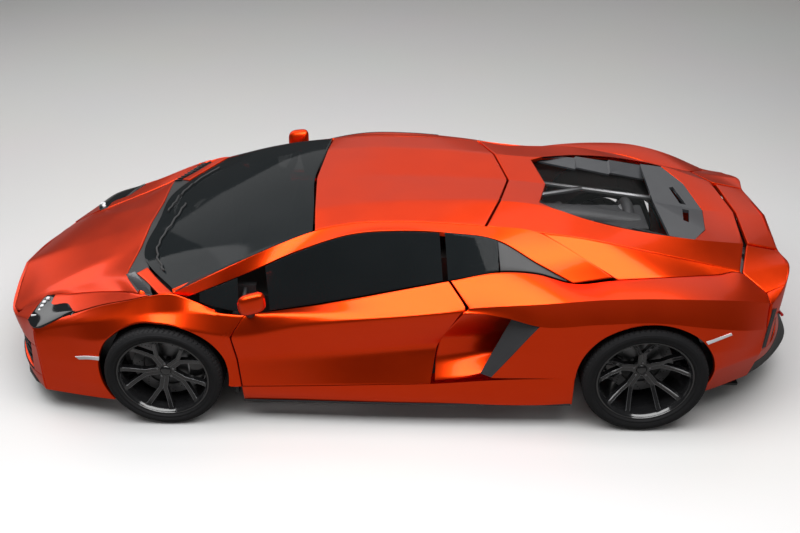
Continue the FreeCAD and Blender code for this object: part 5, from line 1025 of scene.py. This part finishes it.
FLOOR_POINTS, FLOOR_REACH, FLOOR_FRONT = 41, 40, -14
x, y = np.meshgrid(np.linspace(-FLOOR_REACH, FLOOR_REACH, FLOOR_POINTS),
                   np.linspace(FLOOR_FRONT, FLOOR_REACH, FLOOR_POINTS), indexing="ij")
me = bpy.data.meshes.new("floor")
me.from_pydata(np.stack([x, y, np.zeros_like(x)], -1).reshape(-1, 3).tolist(), [],
               cells(FLOOR_POINTS, FLOOR_POINTS, True).tolist())
me.materials.append(floor_material())
floor = bpy.data.objects.new("floor", me)
bpy.context.scene.collection.objects.link(floor)


def stand(name, data, x, y, z, at):
    """An object in the scene at a place, with its own x, y and z along three directions."""
    ob = bpy.data.objects.new(name, data)
    matrix = np.eye(4)
    matrix[:3] = np.stack([x, y, z, at], -1)
    ob.matrix_world = Matrix(matrix.tolist())
    bpy.context.scene.collection.objects.link(ob)
    return ob


def lamp(name, at, aim, size_x, size_y, watts):
    """A rectangular soft lamp at a point, facing another point, with its long side level."""
    data = bpy.data.lights.new(name, "AREA")
    data.shape = "RECTANGLE"
    data.size, data.size_y, data.energy = size_x, size_y, watts
    z = unit(np.subtract(at, aim))
    x = unit(np.cross((0.0, 1.0, 0.0), z))
    stand(name, data, x, np.cross(z, x), z, at)


lamp("key", (0, -1.6, 4.6), (0, -0.9, 0.6), 7.5, 3.2, 430)
lamp("top", (0, 2.6, 6.0), (0, 0, 0.5), 9.0, 3.0, 120)
lamp("back", (0, 7.6, 5.0), (0, 0, 0.9), 14.0, 4.5, 100)
lamp("front", (-6.0, 3.6, 4.6), (-1.6, 0, 0.5), 5.0, 3.0, 80)

# A grey world that is dimmer where the car mirrors it
world = bpy.data.worlds.new("world")
bpy.context.scene.world = world
world.use_nodes = True
t = world.node_tree
sky = t.nodes["Background"]
sky.inputs["Color"].default_value = (0.62, 0.62, 0.62, 1)
rays = t.nodes.new("ShaderNodeLightPath")
spread = socket(t, "ShaderNodeMapRange", To_Min=0.35, To_Max=0.10)
t.links.new(rays.outputs["Is Glossy Ray"], spread.inputs["Value"])
t.links.new(spread.outputs["Result"], sky.inputs["Strength"])

# The camera stands where the fit to the photograph puts it: angles in radians, place in metres
YAW, PITCH, ROLL = -0.0059, 0.5557, 0.0036
CAMERA_AT = (0.1906, -5.217, 3.7251)
LENS, SENSOR, SHIFT_X, SHIFT_Y = 43.29, 36.0, -0.0313, -0.0015
ahead = np.array((math.sin(YAW), math.cos(YAW), 0.0))
aside = np.array((math.cos(YAW), -math.sin(YAW), 0.0))
up = np.array((0.0, 0.0, 1.0))
look = ahead * math.cos(PITCH) - up * math.sin(PITCH)
head = ahead * math.sin(PITCH) + up * math.cos(PITCH)
camera = bpy.data.cameras.new("camera")
camera.lens, camera.sensor_width, camera.shift_x, camera.shift_y = LENS, SENSOR, SHIFT_X, SHIFT_Y
bpy.context.scene.camera = stand("camera", camera, aside * math.cos(ROLL) + head * math.sin(ROLL),
                                 head * math.cos(ROLL) - aside * math.sin(ROLL), -look, CAMERA_AT)
bpy.context.scene.view_settings.view_transform = "Standard"
